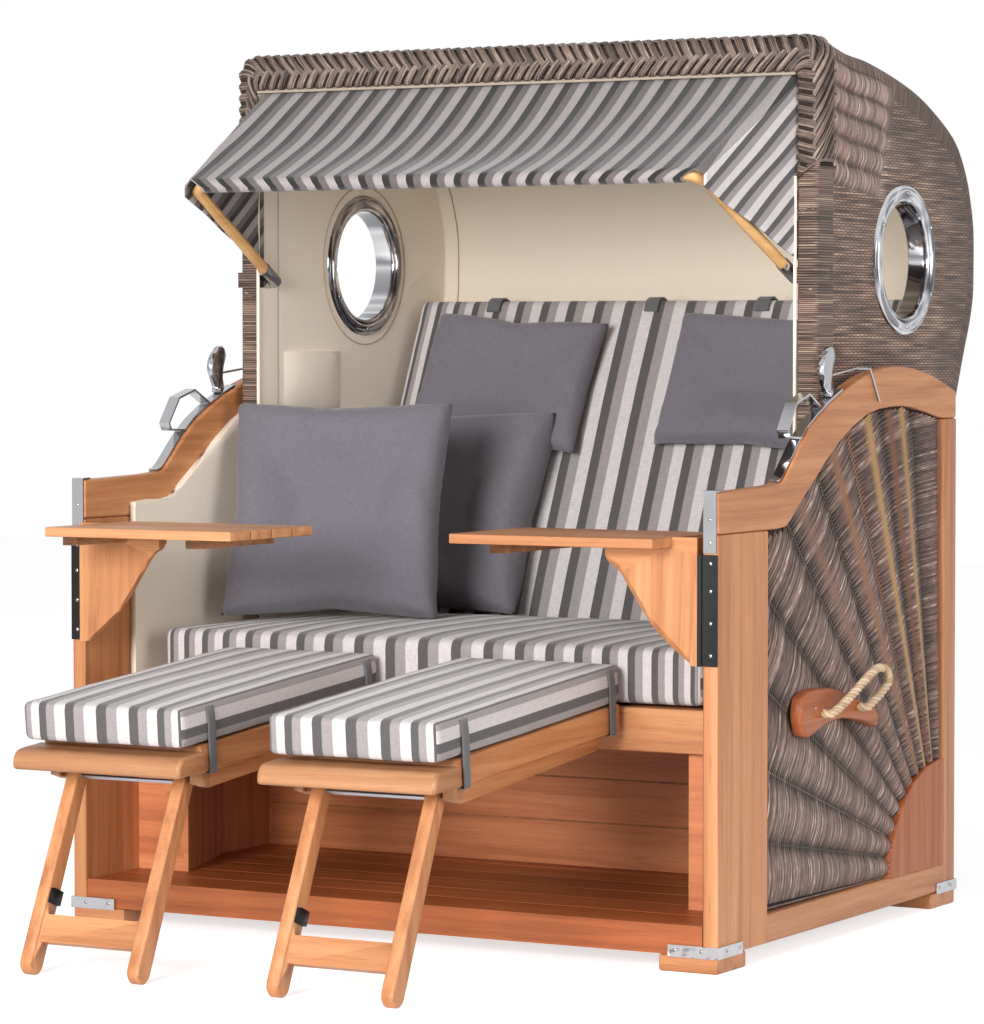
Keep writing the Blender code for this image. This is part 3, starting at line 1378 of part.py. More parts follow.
def rim_stations():
    """Outer and inner points of the rim's path, up the right post and down the left."""
    outer = HOOD_HALF_WIDTH + RIM_PROUD
    inner = outer - RIM_WIDTH
    top = HOOD_HEIGHT
    under = top - RIM_TOP_HEIGHT
    right = [((outer, HOOD_BOTTOM), (inner, HOOD_BOTTOM))]
    for index in range(RIM_CORNER_STEPS + 1):
        angle = math.pi / 2 * index / RIM_CORNER_STEPS
        right.append(((outer - RIM_CORNER * (1 - math.cos(angle)), top - RIM_CORNER * (1 - math.sin(angle))),
                      (inner - RIM_INNER_CORNER * (1 - math.cos(angle)),
                       under - RIM_INNER_CORNER * (1 - math.sin(angle)))))
    left = [((-x, z), (-inner_x, inner_z)) for (x, z), (inner_x, inner_z) in right[::-1]]
    return right + left


def build_rim(name):
    """Braided rim over the front edge, with the wrapped posts down both sides."""
    section = rim_section()
    shape = bmesh.new()
    rings = []
    for (outer_x, outer_z), (inner_x, inner_z) in rim_stations():
        ring = []
        for outward, depth in section:
            share = outward / RIM_WIDTH
            ring.append(shape.verts.new((inner_x + (outer_x - inner_x) * share, depth,
                                         inner_z + (outer_z - inner_z) * share)))
        rings.append(ring)
    for ring, after in zip(rings, rings[1:]):
        count = len(ring)
        for index in range(count):
            follow = (index + 1) % count
            shape.faces.new((ring[index], ring[follow], after[follow], after[index]))
    shape.faces.new(rings[0])
    shape.faces.new(rings[-1][::-1])
    return from_bmesh(name, shape)


def build_porthole(name):
    """Steel ring with domed flanges on both faces of the hood's side."""
    bore = PORTHOLE_BORE_RADIUS
    height = hood_level(PORTHOLE_LEVEL_SHARE)
    tube_radius = bore + PORTHOLE_TUBE
    outside = HOOD_HALF_WIDTH + GAP
    inside = lining_inner() - GAP
    width = PORTHOLE_FLANGE_RADIUS - bore
    section = [(bore + width * along, outside + PORTHOLE_FLANGE_RISE * up)
               for along, up in PORTHOLE_PROFILE_SHARES]
    section += [(tube_radius, outside), (tube_radius, inside)]
    section += [(bore + width * along, inside - PORTHOLE_FLANGE_RISE * up)
                for along, up in reversed(PORTHOLE_PROFILE_SHARES)]
    shape = bmesh.new()
    rings = []
    for index in range(PORTHOLE_SIDES):
        angle = 2 * math.pi * index / PORTHOLE_SIDES
        rings.append([shape.verts.new((x, PORTHOLE_DEPTH + radius * math.cos(angle),
                                       height + radius * math.sin(angle))) for radius, x in section])
    for index in range(PORTHOLE_SIDES):
        ring, after = rings[index], rings[(index + 1) % PORTHOLE_SIDES]
        for step in range(len(section)):
            follow = (step + 1) % len(section)
            shape.faces.new((ring[step], ring[follow], after[follow], after[step]))
    return from_bmesh(name, shape)


def build_pivot(name):
    """Hood pivot bolt with its flange on the base lining."""
    start = side_inner() - GAP - LINING_THICKNESS - GAP
    end = lining_inner() - FITTING_THICKNESS
    centre = (PIVOT_DEPTH, PIVOT_HEIGHT)
    flange = cylinder(name, 'X', centre, PIVOT_FLANGE_RADIUS, start - PIVOT_FLANGE, start, 24)
    shaft = cylinder("shaft", 'X', centre, PIVOT_RADIUS, end, start - PIVOT_FLANGE / 2, 24)
    return fuse(flange, shaft)


def lining_depth(line, height):
    """Depth at which the hood's inner line passes one height on its way down the back."""
    depths = [y0 + (y1 - y0) * (height - z0) / (z1 - z0)
              for (y0, z0), (y1, z1) in zip(line, line[1:]) if z1 <= height < z0]
    return max(depths) if depths else line[-1][0]


def backrest_depth():
    """Depth of the sitting face's foot, so that the board behind it just clears the lining."""
    line = offset_line(hood_profile(), -HOOD_SHELL - GAP - HOOD_LINING)
    behind = BACK_CUSHION_THICKNESS + GAP + BACKREST_BOARD
    depths = []
    for step in range(BACKREST_STEPS + 1):
        rise = BACKREST_LOW + BACKREST_LENGTH * step / BACKREST_STEPS
        away = rise * math.sin(BACKREST_LEAN) + behind * math.cos(BACKREST_LEAN)
        height = BACKREST_FACE_HEIGHT + rise * math.cos(BACKREST_LEAN) - behind * math.sin(BACKREST_LEAN)
        depths.append(lining_depth(line, height) - away - BACKREST_CLEARANCE)
    return min(depths)


def backrest_place(rise, standoff):
    """Frame on the backrest's sitting face: X across, Y up along it, Z out of it."""
    upward = Vector((0, math.sin(BACKREST_LEAN), math.cos(BACKREST_LEAN)))
    outward = Vector((0, -math.cos(BACKREST_LEAN), math.sin(BACKREST_LEAN)))
    turn = Matrix((Vector((1, 0, 0)), upward, outward)).transposed().to_4x4()
    foot = Vector((0, backrest_depth(), BACKREST_FACE_HEIGHT))
    return Matrix.Translation(foot + upward * rise + outward * standoff) @ turn


def build_backrest():
    half = lining_inner() - GAP
    board = box("backrest_board", (-half, 0, -BACKREST_BOARD), (half, BACKREST_LENGTH, 0))
    placed(board, backrest_place(BACKREST_LOW, -BACK_CUSHION_THICKNESS - GAP))
    give_material(board, "backrest_board", DARK_WOOD)
    edge = BACK_CUSHION_THICKNESS * 0.80
    crown = (BACK_CUSHION_THICKNESS - edge) / 2
    middle = backrest_place(BACK_CUSHION_LOW + BACK_CUSHION_LENGTH / 2, -BACK_CUSHION_THICKNESS / 2)
    width = 2 * BACK_CUSHION_HALF_WIDTH
    cushion = pad("back_cushion", width, BACK_CUSHION_LENGTH, edge, crown, 0.006, (14, 10), middle)
    give_material(cushion, "back_cushion", STRIPE)
    sides = ((-HEAD_CUSHION_LEFT, "left"), (HEAD_CUSHION_RIGHT, "right"))
    heads = []
    for (offset, name), swing in zip(sides, HEAD_CUSHION_TURNS):
        centre = backrest_place(HEAD_CUSHION_TOP - HEAD_CUSHION_HEIGHT / 2, HEAD_CUSHION_THICKNESS)
        centre = centre @ Matrix.Rotation(swing, 4, 'Z')
        shift = Matrix.Translation((offset, 0, 0))
        head = pad("head_cushion_" + name, HEAD_CUSHION_WIDTH, HEAD_CUSHION_HEIGHT, HEAD_CUSHION_EDGE,
                   (HEAD_CUSHION_THICKNESS - HEAD_CUSHION_EDGE) / 2, 0.04, (8, 6), shift @ centre)
        inward = centre.to_3x3() @ Vector((0, 0, -1))
        settle(head, [cushion], inward)
        give_material(head, head.name, GREY_CLOTH)
        heads.append(head)
    return [cushion] + heads


def build_seat_cushion():
    back = backrest_depth() + BACK_CUSHION_LOW * math.sin(BACKREST_LEAN) - SEAT_CUSHION_CLEARANCE
    length = back - SEAT_FRONT
    edge = SEAT_CUSHION_THICKNESS * 0.82
    crown = (SEAT_CUSHION_THICKNESS - edge) / 2
    place = Matrix.Translation((0, SEAT_FRONT + length / 2, SEAT_TOP + GAP + SEAT_CUSHION_THICKNESS / 2))
    cushion = pad("seat_cushion", 2 * SEAT_CUSHION_HALF_WIDTH, length, edge, crown, 0.005, (14, 10), place)
    give_material(cushion, "seat_cushion", STRIPE)
    return cushion


def bow_points():
    pivot_x = lining_inner() - BOW_PIVOT_INSET
    return [Vector((pivot_x, BOW_PIVOT_DEPTH, hood_level(BOW_PIVOT_LEVEL_SHARE))),
            Vector((BOW_FRONT_HALF_WIDTH, BOW_FRONT_DEPTH, hood_level(BOW_FRONT_LEVEL_SHARE)))]


def build_bow(name):
    """Round wooden bow with steel end ferrules and pivot stubs."""
    pivot, front = bow_points()
    flip = Vector((-1, 1, 1))
    bend = (pivot - front).normalized() * BOW_RADIUS * 2
    corner = front + bend
    inward = Vector((-BOW_RADIUS * 2, 0, 0))
    route = [pivot, corner, front + inward]
    route += [Vector(point) * flip for point in route[::-1]]
    bow = tube(name, [tuple(point) for point in route], BOW_RADIUS, 2)
    along = (front - pivot).normalized() * BOW_FERRULE_LENGTH
    back = -along * 0.2
    for mirror in (Vector((1, 1, 1)), flip):
        ends = [tuple((pivot + back) * mirror), tuple((pivot + along) * mirror)]
        fuse(bow, tube("ferrule", ends, BOW_FERRULE_RADIUS, 2))
        reach = HOOD_HALF_WIDTH + RIM_PROUD - RIM_WIDTH - GAP - CLAMP_THICKNESS - GAP
        low, high = sorted((pivot.x * mirror.x, reach * mirror.x))
        fuse(bow, cylinder("stub", 'X', (pivot.y, pivot.z), BOW_STUB_RADIUS, low, high, 12))
    return bow


def build_clamp(name):
    """Steel clamp round the wrapped post, which holds the awning pivot."""
    inner = HOOD_HALF_WIDTH + RIM_PROUD - RIM_WIDTH - GAP
    outer = HOOD_HALF_WIDTH + RIM_PROUD + GAP
    front = HOOD_FRONT - GAP
    back = HOOD_FRONT + RIM_DEPTH * 0.62
    line = [(inner, back), (inner, front), (outer, front), (outer, back)]
    outline = ribbon(line, -CLAMP_THICKNESS)
    low = hood_level(BOW_PIVOT_LEVEL_SHARE) - CLAMP_HEIGHT / 2
    return extrude(name, outline[::-1], 'Z', low, low + CLAMP_HEIGHT)


def sleeve_tangent():
    """Where the sheet's outer face meets the sleeve round the bow: its angle and rear anchor."""
    front = bow_points()[1]
    rear = Vector((AWNING_REAR_DEPTH, HOOD_HEIGHT - RIM_TOP_HEIGHT - GAP))
    away = rear - Vector((front.y, front.z))
    radius = BOW_RADIUS + SLEEVE_CLEARANCE + AWNING_CLOTH
    angle = math.atan2(away.y, away.x) + math.acos(radius / away.length)
    return angle, radius


def awning_sections():
    """Rows of the sheet's outer face from the hood's rim to the bow, with the cheeks."""
    pivot, front = bow_points()
    angle, radius = sleeve_tangent()
    rear_half = HOOD_HALF_WIDTH + RIM_PROUD - RIM_WIDTH - GAP
    front_half = front.x + BOW_RADIUS + AWNING_CLOTH + GAP
    rear_top = Vector((0, AWNING_REAR_DEPTH, HOOD_HEIGHT - RIM_TOP_HEIGHT - GAP))
    front_top = Vector((0, front.y + radius * math.cos(angle), front.z + radius * math.sin(angle)))
    rear_low = Vector((0, AWNING_REAR_DEPTH, pivot.z + AWNING_SIDE_LOW))
    front_low = front_top - Vector((0, 0, AWNING_CHEEK_FRONT))
    rows = []
    for row in range(AWNING_ROWS + 1):
        share = row / AWNING_ROWS
        top = rear_top.lerp(front_top, share)
        low = rear_low.lerp(front_low, share)
        half = rear_half + (front_half - rear_half) * share
        shoulder = top - Vector((0, 0, AWNING_CORNER))
        cheek = [low.lerp(shoulder, step / AWNING_CHEEK_STEPS) for step in range(AWNING_CHEEK_STEPS + 1)]
        line = [Vector((-half, point.y, point.z)) for point in cheek]
        for column in range(AWNING_COLUMNS + 1):
            u = column / AWNING_COLUMNS
            tension = math.sin(math.pi * share)
            sag = AWNING_SAG * tension * math.sin(math.pi * u) ** 0.5
            wave = AWNING_RIPPLE * math.sin(3 * math.pi * u) * tension
            line.append(Vector(((half - AWNING_CORNER) * (2 * u - 1), top.y, top.z - sag + wave)))
        line += [Vector((half, point.y, point.z)) for point in cheek[::-1]]
        rows.append(line)
    return rows


def sleeve_sections(last_row):
    """Rows that carry the sheet's front edge round the bow as a sleeve."""
    front = bow_points()[1]
    start, radius = sleeve_tangent()
    across = [point.x for point in last_row[AWNING_CHEEK_STEPS + 1:-AWNING_CHEEK_STEPS - 1]]
    narrow = (front.x - BOW_RADIUS * SLEEVE_END_SHARE) / across[-1]
    rows = []
    for step in range(1, SLEEVE_STEPS + 1):
        angle = start + (SLEEVE_TURN - start) * step / SLEEVE_STEPS
        width = 1 + (narrow - 1) * min(1, step * 2 / SLEEVE_STEPS)
        depth = front.y + radius * math.cos(angle)
        height = front.z + radius * math.sin(angle)
        rows.append([Vector((x * width, depth, height)) for x in across])
    return rows


def build_awning_fabric(name):
    """Awning cloth: sagging sheet, a cheek on each side and a sleeve round the bow."""
    shape = bmesh.new()
    sections = awning_sections()
    rows = [[shape.verts.new(point) for point in line] for line in sections]
    grids = [rows, [rows[-1][AWNING_CHEEK_STEPS + 1:-AWNING_CHEEK_STEPS - 1]]
             + [[shape.verts.new(point) for point in line] for line in sleeve_sections(sections[-1])]]
    for grid in grids:
        for row, after in zip(grid, grid[1:]):
            for index in range(len(row) - 1):
                shape.faces.new((row[index], row[index + 1], after[index + 1], after[index]))
    cloth = from_bmesh(name, shape)
    sheet_face = cloth.data.polygons[AWNING_CHEEK_STEPS + 1 + AWNING_COLUMNS // 2]
    if sheet_face.normal.z < 0:
        cloth.data.flip_normals()
    wall = cloth.modifiers.new("Cloth", 'SOLIDIFY')
    wall.thickness = AWNING_CLOTH
    wall.offset = -1
    wall.use_even_offset = True
    return bake_modifiers(cloth)


def build_awning():
    bow = build_bow("awning_bow")
    give_material(bow, "awning_bow", WOOD)
    fabric = build_awning_fabric("awning_fabric")
    give_material(fabric, "awning_fabric", STRIPE)
    both_sides(build_clamp, "awning_clamp", STEEL)


def build_throw_cushions(seat_cushion, backs):
    """Two square cushions that lean in the seat's left corner, one on the other."""
    leaned_on = list(backs)
    for name, place_shares, lean, swing in THROW_PLACES:
        turn = Matrix.Rotation(swing, 4, 'Z') @ Matrix.Rotation(math.pi / 2 - lean, 4, 'X')
        lift = SEAT_TOP + SEAT_CUSHION_THICKNESS * 2 + THROW_SIZE / 2
        across, deep = (THROW_SIZE * share for share in place_shares)
        centre = (across - lining_inner(), SEAT_FRONT + deep, lift)
        cushion = pad(name, THROW_SIZE, THROW_SIZE, THROW_EDGE, (THROW_THICKNESS - THROW_EDGE) / 2, 0.05,
                      (8, 8), Matrix.Translation(centre) @ turn)
        for slack in THROW_SLACKS:
            cushion.data.transform(Matrix.Translation((0, -slack, slack)))
            settle(cushion, [seat_cushion], (0, 0, -1))
            settle(cushion, leaned_on, (0, 1, 0), LEAN_GAP)
        give_material(cushion, name, GREY_CLOTH)
        leaned_on.append(cushion)


def build_base():
    both_sides(build_side_frame, "side_frame", WOOD)
    both_sides(build_arm, "arm", WOOD)
    both_sides(build_corner_board, "corner_board", WOOD)
    both_sides(build_side_wicker, "side_wicker", WICKER)
    both_sides(build_side_lining, "side_lining", CREAM)
    for build, name, finish in ((build_floor, "floor_boards", WOOD),
                                (build_cavity_walls, "cavity_walls", DARK_WOOD),
                                (build_seat_rail, "seat_rail", WOOD),
                                (build_seat_deck, "seat_deck", DARK_WOOD),
                                (build_rear_panel, "rear_panel", WICKER)):
        give_material(build(name), name, finish)


def build_feet():
    flip = Matrix.Translation((0, BASE_DEPTH, 0)) @ Matrix.Scale(-1, 4, Vector((0, 1, 0)))
    front = both_sides(build_foot_with_bracket, "foot_front", WOOD)
    for side, name in ((1, "foot_rear_right"), (-1, "foot_rear_left")):
        shape = bmesh.new()
        shape.from_mesh(front.data)
        bmesh.ops.transform(shape, matrix=flip, verts=shape.verts[:])
        bmesh.ops.reverse_faces(shape, faces=shape.faces[:])
        if side < 0:
            bmesh.ops.scale(shape, vec=Vector((-1, 1, 1)), verts=shape.verts[:])
            bmesh.ops.reverse_faces(shape, faces=shape.faces[:])
        give_material(from_bmesh(name, shape), name, WOOD)


def build_fittings():
    both_sides(build_handle_board, "handle_board", WOOD)
    both_sides(build_rope, "rope_loop", ROPE)
    both_sides(build_arm_strap, "arm_strap", STEEL)
    both_sides(build_arm_fitting, "arm_fitting", STEEL)
    both_sides(build_latch, "latch", STEEL)
    both_sides(build_pivot, "hood_pivot", STEEL)
    both_sides(build_porthole, "porthole", STEEL)


def centre_on_floor():
    """Move the finished chair so that its box is centred over the origin."""
    lows = [math.inf, math.inf]
    highs = [-math.inf, -math.inf]
    for item in bpy.data.objects:
        for vertex in item.data.vertices:
            for axis in (0, 1):
                lows[axis] = min(lows[axis], vertex.co[axis])
                highs[axis] = max(highs[axis], vertex.co[axis])
    shift = Vector((-(lows[0] + highs[0]) / 2, -(lows[1] + highs[1]) / 2, 0))
    for item in bpy.data.objects:
        item.data.transform(Matrix.Translation(shift))
    return shift


def print_places(shift):
    axis_x, axis_y = table_axis()
    places = {"hood": (0, PIVOT_DEPTH, PIVOT_HEIGHT),
              "awning": (0, BOW_PIVOT_DEPTH, hood_level(BOW_PIVOT_LEVEL_SHARE)),
              "table": (axis_x, axis_y, TABLE_HINGE_LOW), "latch": (0, *latch_axis()),
              "footrest": tuple(footrest_place(0) @ Vector((0, 0, 0))), "legs": tuple(leg_vector()[1])}
    for name, place in places.items():
        moved = Vector(place) + shift
        print("axis", name, [round(value, 5) for value in moved])


def main():
    clear_scene()
    build_base()
    build_feet()
    build_fittings()
    build_tables()
    build_footrests()
    hood = build_hood()
    backs = hood + build_backrest()
    seat_cushion = build_seat_cushion()
    build_throw_cushions(seat_cushion, backs)
    build_awning()
    shift = centre_on_floor()
    print("shift", [round(value, 5) for value in shift])
    print_places(shift)


main()
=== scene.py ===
import json
import math
import bpy
import bmesh
import numpy as np
from mathutils import Matrix, Vector, noise


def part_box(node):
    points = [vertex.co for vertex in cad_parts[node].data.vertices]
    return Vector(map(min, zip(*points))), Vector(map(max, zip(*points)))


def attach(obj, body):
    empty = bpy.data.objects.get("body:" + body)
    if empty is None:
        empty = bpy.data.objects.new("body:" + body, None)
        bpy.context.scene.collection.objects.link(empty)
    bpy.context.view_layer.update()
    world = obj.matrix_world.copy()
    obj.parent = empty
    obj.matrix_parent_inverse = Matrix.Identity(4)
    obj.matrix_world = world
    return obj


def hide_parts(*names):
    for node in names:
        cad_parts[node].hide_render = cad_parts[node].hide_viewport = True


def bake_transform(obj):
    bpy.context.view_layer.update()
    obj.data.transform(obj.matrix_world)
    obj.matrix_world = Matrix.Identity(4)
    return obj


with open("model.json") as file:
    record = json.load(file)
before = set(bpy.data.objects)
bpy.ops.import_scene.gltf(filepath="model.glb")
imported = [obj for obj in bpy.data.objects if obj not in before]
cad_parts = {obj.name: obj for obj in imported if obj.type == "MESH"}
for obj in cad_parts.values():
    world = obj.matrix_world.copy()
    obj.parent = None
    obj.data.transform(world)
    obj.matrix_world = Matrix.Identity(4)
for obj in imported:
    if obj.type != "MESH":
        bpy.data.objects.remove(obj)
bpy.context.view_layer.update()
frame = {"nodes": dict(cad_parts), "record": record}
nodes = frame["nodes"]
bodyOf = {name: body for body, names in frame["record"]["behaviour"]["bodies"].items() for name in names}
shift = Vector((0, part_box("side_frame_right")[0].y, 0))  # chair axes start at the front posts
sides = ((1, "right"), (-1, "left"))
print("frame loaded:", len(nodes), "nodes")


def newObject(name, data):
    obj = bpy.data.objects.new(name, data)
    bpy.context.scene.collection.objects.link(obj)
    return obj


def newPiece(name, points, faces, smooth=True, edges=()):
    mesh = bpy.data.meshes.new(name)
    mesh.from_pydata([tuple(p) for p in points], edges, [tuple(f) for f in faces])
    mesh.polygons.foreach_set("use_smooth", [smooth] * len(mesh.polygons))
    mesh.update()
    return newObject(name, mesh)


def addField(obj, name, values):
    # numbers or vectors, one for each point or one for each face corner
    values = np.asarray(values, np.float32)
    kind, key = ("FLOAT", "value") if values.ndim == 1 else ("FLOAT_VECTOR", "vector")
    domain = "CORNER" if len(values) == len(obj.data.loops) else "POINT"
    obj.data.attributes.new(name, kind, domain).data.foreach_set(key, values.ravel())


def bake(obj):
    deps = bpy.context.evaluated_depsgraph_get()
    mesh = bpy.data.meshes.new_from_object(obj.evaluated_get(deps), preserve_all_data_layers=True,
                                           depsgraph=deps)
    obj.modifiers.clear()
    obj.data = mesh
    return obj


def thicken(obj, thickness, offset=0, even=False):
    wall = obj.modifiers.new("wall", "SOLIDIFY")
    wall.thickness, wall.offset, wall.use_even_offset = thickness, offset, even
    return bake(obj)


def weld(obj, distance=0.00002):
    shape = bmesh.new()
    shape.from_mesh(obj.data)
    bmesh.ops.remove_doubles(shape, verts=shape.verts[:], dist=distance)
    bmesh.ops.dissolve_degenerate(shape, edges=shape.edges[:], dist=distance)
    bmesh.ops.recalc_face_normals(shape, faces=shape.faces[:])
    shape.to_mesh(obj.data)
    shape.free()
    return obj


def add(obj, body, material=None):
    if material:
        obj.data.materials.clear()
        obj.data.materials.append(material)
    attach(obj, body)
    return obj


def dress(obj, node, material):
    # the piece takes a node's place, body and material slot
    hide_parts(node)
    return add(obj, bodyOf[node], material)


def paint(obj, material, rule):
    # rule(centre, normal) picks the faces that get the material
    obj.data.materials.append(material)
    for face in obj.data.polygons:
        if rule(face.center - shift, face.normal):
            face.material_index = len(obj.data.materials) - 1


def smoothLine(points, steps):
    line = []
    last = len(points) - 1
    for i in range(last):
        a, b, c, d = (Vector(points[j]) for j in (max(i - 1, 0), i, i + 1, min(i + 2, last)))
        for step in range(steps):
            t = step / steps
            line.append((2 * b + (c - a) * t + (2 * a - 5 * b + 4 * c - d) * t ** 2
                         + (3 * b - a - 3 * c + d) * t ** 3) / 2)
    return line + [Vector(points[last])]


def runLengths(points):
    return np.cumsum([0] + [(b - a).length for a, b in zip(points, points[1:])])


def evenLine(points, spacing):
    # the same line with points at an even distance
    points = [Vector(p) for p in points]
    lengths = runLengths(points)
    wanted = np.linspace(0, lengths[-1], max(2, int(round(lengths[-1] / spacing)) + 1))
    return [Vector(p) for p in np.stack([np.interp(wanted, lengths, column) for column in np.array(points).T], 1)]


def gridFaces(rows, columns, flip=False):
    faces = []
    for r in range(rows - 1):
        for c in range(columns - 1):
            a = r * columns + c
            face = (a, a + 1, a + columns + 1, a + columns)
            faces.append(face[::-1] if flip else face)
    return faces


class Signal:
    # a socket of a node tree that can be reckoned with; every step is a math node
    def __init__(self, tree, socket):
        self.tree, self.socket = tree, socket

    def step(self, operation, *values):
        node = self.tree.nodes.new("ShaderNodeMath")
        node.operation = operation
        for value, socket in zip((self, *values), node.inputs):
            wire(value, socket)
        return Signal(self.tree, node.outputs[0])

    def held(self):
        # the last step stays between 0 and 1
        self.socket.node.use_clamp = True
        return self

    def __add__(self, other):
        return self.step("ADD", other)

    def __sub__(self, other):
        return self.step("SUBTRACT", other)

    def __mul__(self, other):
        return self.step("MULTIPLY", other)

    def __truediv__(self, other):
        return self.step("DIVIDE", other)


def wire(value, socket):
    # a signal is linked, anything else becomes the socket's own value
    if isinstance(value, Signal):
        value.tree.links.new(value.socket, socket)
    elif value is not None:
        socket.default_value = value


def newTree(name, kind="Shader", **inputs):
    # an input is given by its start value, or by its socket kind where it has none
    tree = bpy.data.node_groups.new(name, kind + "NodeTree")
    for label, value in inputs.items():
        socket = value if isinstance(value, str) else "Int" if isinstance(value, int) else "Float"
        item = tree.interface.new_socket(name=label, in_out="INPUT", socket_type="NodeSocket" + socket)
        if socket != value:
            item.default_value = value
    return tree, {s.name: Signal(tree, s) for s in tree.nodes.new("NodeGroupInput").outputs if s.name}


def closeTree(tree, **results):
    kinds = {"VALUE": "Float", "RGBA": "Color", "GEOMETRY": "Geometry"}
    for label, value in results.items():
        socket = "NodeSocket" + kinds[value.socket.type]
        tree.interface.new_socket(name=label, in_out="OUTPUT", socket_type=socket)
    end = tree.nodes.new("NodeGroupOutput")
    for label, value in results.items():
        wire(value, end.inputs[label])
    return tree


def place(tree, kind, output=0, rules=(), **values):
    # one node: its settings, then its inputs by name with _ for a space
    node = tree.nodes.new(kind)
    for label, value in dict(rules).items():
        setattr(node, label, value)
    for label, value in values.items():
        wire(value, node.inputs[label.replace("_", " ")])
    return Signal(tree, node.outputs[output])


def useGroup(tree, group, **values):
    first = place(tree, "ShaderNodeGroup", 0, {"node_tree": group}, **values)
    return {s.name: Signal(tree, s) for s in first.socket.node.outputs}


def readField(tree, name, output="Fac"):
    return place(tree, "ShaderNodeAttribute", output, {"attribute_name": name})


def ownPlace(tree):
    return place(tree, "ShaderNodeTexCoord", "Object")


def split(vector):
    first = place(vector.tree, "ShaderNodeSeparateXYZ", Vector=vector)
    return [Signal(vector.tree, s) for s in first.socket.node.outputs]


def joined(tree, **parts):
    return place(tree, "ShaderNodeCombineXYZ", **parts)


def stretched(vector, scale, start=None):
    node = vector.tree.nodes.new("ShaderNodeVectorMath")
    node.operation = "MULTIPLY" if start is None else "MULTIPLY_ADD"
    for value, socket in zip((vector, scale, start), node.inputs):
        wire(value, socket)
    return Signal(vector.tree, node.outputs[0])


def cloud(vector, detail=1.0, roughness=0.5, scale=1.0):
    return place(vector.tree, "ShaderNodeTexNoise", Vector=vector, Scale=scale, Detail=detail, Roughness=roughness)


def ramp(factor, stops):
    result = place(factor.tree, "ShaderNodeValToRGB", "Color", Fac=factor)
    elements = result.socket.node.color_ramp.elements
    while len(elements) < len(stops):
        elements.new(0.5)
    for element, (position, colour) in zip(elements, stops):
        element.position, element.color = position, (*colour, 1)
    return result


def mixColour(factor, a, b, blend="MIX"):
    node = a.tree.nodes.new("ShaderNodeMix")
    node.data_type, node.blend_type = "RGBA", blend
    for value, socket in ((factor, 0), (a, 6), ((*b, 1) if isinstance(b, tuple) else b, 7)):
        wire(value, node.inputs[socket])
    return Signal(a.tree, node.outputs[2])


def multiplied(a, b):
    return mixColour(1.0, a, b, "MULTIPLY")


def bump(height, distance, strength=1.0):
    return place(height.tree, "ShaderNodeBump", Distance=distance, Strength=strength, Height=height)


grainStretch = {"bend": (2.2, 9, 9), "figure": (1.3, 42, 42), "pores": (16, 620, 620), "tone": (0.5, 1.1, 1.1)}


def makeWoodGrain():
    tree, inp = newTree("woodGrain", Place="Vector", Streak=1.0)
    bend, figure, pores, tone = (stretched(inp["Place"], scale) for scale in grainStretch.values())
    figure = cloud(stretched(cloud(bend), (0.0, 1.1, 1.1), figure), 4.0, 0.6)
    figure = ((figure - 0.5) * (inp["Streak"] * 1.8) + 0.5).held()
    return closeTree(tree, Figure=figure, Pores=((cloud(pores) - 0.58) * 6.0).held(), Tone=cloud(tone, 0.0))


def makeCaneStrands():
    # parallel canes that pass over and under stakes
    tree, inp = newTree("caneStrands", Across=0.0, Along=0.0, Pitch=0.004, Stakes=0.01, Weave=0.35)
    across = inp["Across"] / inp["Pitch"]
    index = across.step("FLOOR")
    arch = (across.step("FRACT") * math.pi).step("SINE").step("POWER", 0.75)
    wave = ((inp["Along"] / inp["Stakes"] + index) * math.pi).step("SINE")
    height = arch * (wave * inp["Weave"] * 0.5 + 1.0)
    tone = cloud(joined(tree, X=inp["Along"] * 9.0, Y=index * 1.7))
    # the last output paints shade between the canes and where they pass under the stakes
    return closeTree(tree, Height=height, Tone=tone, Gap=((height - 0.84) * -1.7).held())


def makeThreadCloth():
    tree, inp = newTree("threadCloth", Place="Vector", Thread=0.0012)
    waves = [(part / inp["Thread"] * (2 * math.pi)).step("SINE") for part in split(inp["Place"])[:2]]
    slubs = [cloud(stretched(inp["Place"], way), 2.0) for way in ((70, 420, 420), (420, 70, 420))]
    return closeTree(tree, Height=waves[0] * waves[1] * 0.5 + 0.5, Tone=(slubs[0] + slubs[1]) * 0.5)


stripes = {"repeat": 0.0530, "offset": 0.008, "soft": 0.012,
           "bands": [(0.0, (0.098, 0.090, 0.090)), (0.30, (0.32, 0.288, 0.285)), (0.62, (0.62, 0.575, 0.57))]}


def makeStripeBands():
    tree, inp = newTree("stripeBands", Across=0.0, Repeat=0.053)
    bands = stripes["bands"]
    stops = [bands[0]]
    for (_, before), (start, colour) in zip(bands, bands[1:]):
        stops += [(start - stripes["soft"], before), (start + stripes["soft"], colour)]
    return closeTree(tree, Color=ramp((inp["Across"] / inp["Repeat"]).step("FRACT"), stops))


def makeSmudges():
    tree, inp = newTree("smudges", Place="Vector", Low=0.1, High=0.3)
    spots = cloud(stretched(inp["Place"], (24, 24, 24)), 4.0)
    return closeTree(tree, Roughness=spots * (inp["High"] - inp["Low"]) + inp["Low"],
                     Dust=((spots - 0.55) * 3.0).held())


woodGrain, caneStrands, threadCloth = makeWoodGrain(), makeCaneStrands(), makeThreadCloth()
stripeBands, smudges = makeStripeBands(), makeSmudges()


def newMaterial(name, roughness=0.5, metallic=0.0, specular=0.5, **more):
    material = bpy.data.materials.new(name)
    material.use_nodes = True
    shader = material.node_tree.nodes["Principled BSDF"].inputs
    values = {"Roughness": roughness, "Metallic": metallic, "Specular IOR Level": specular}
    for label, value in {**values, **more}.items():
        wire(value, shader[label.replace("_", " ")])
    return material, material.node_tree, shader


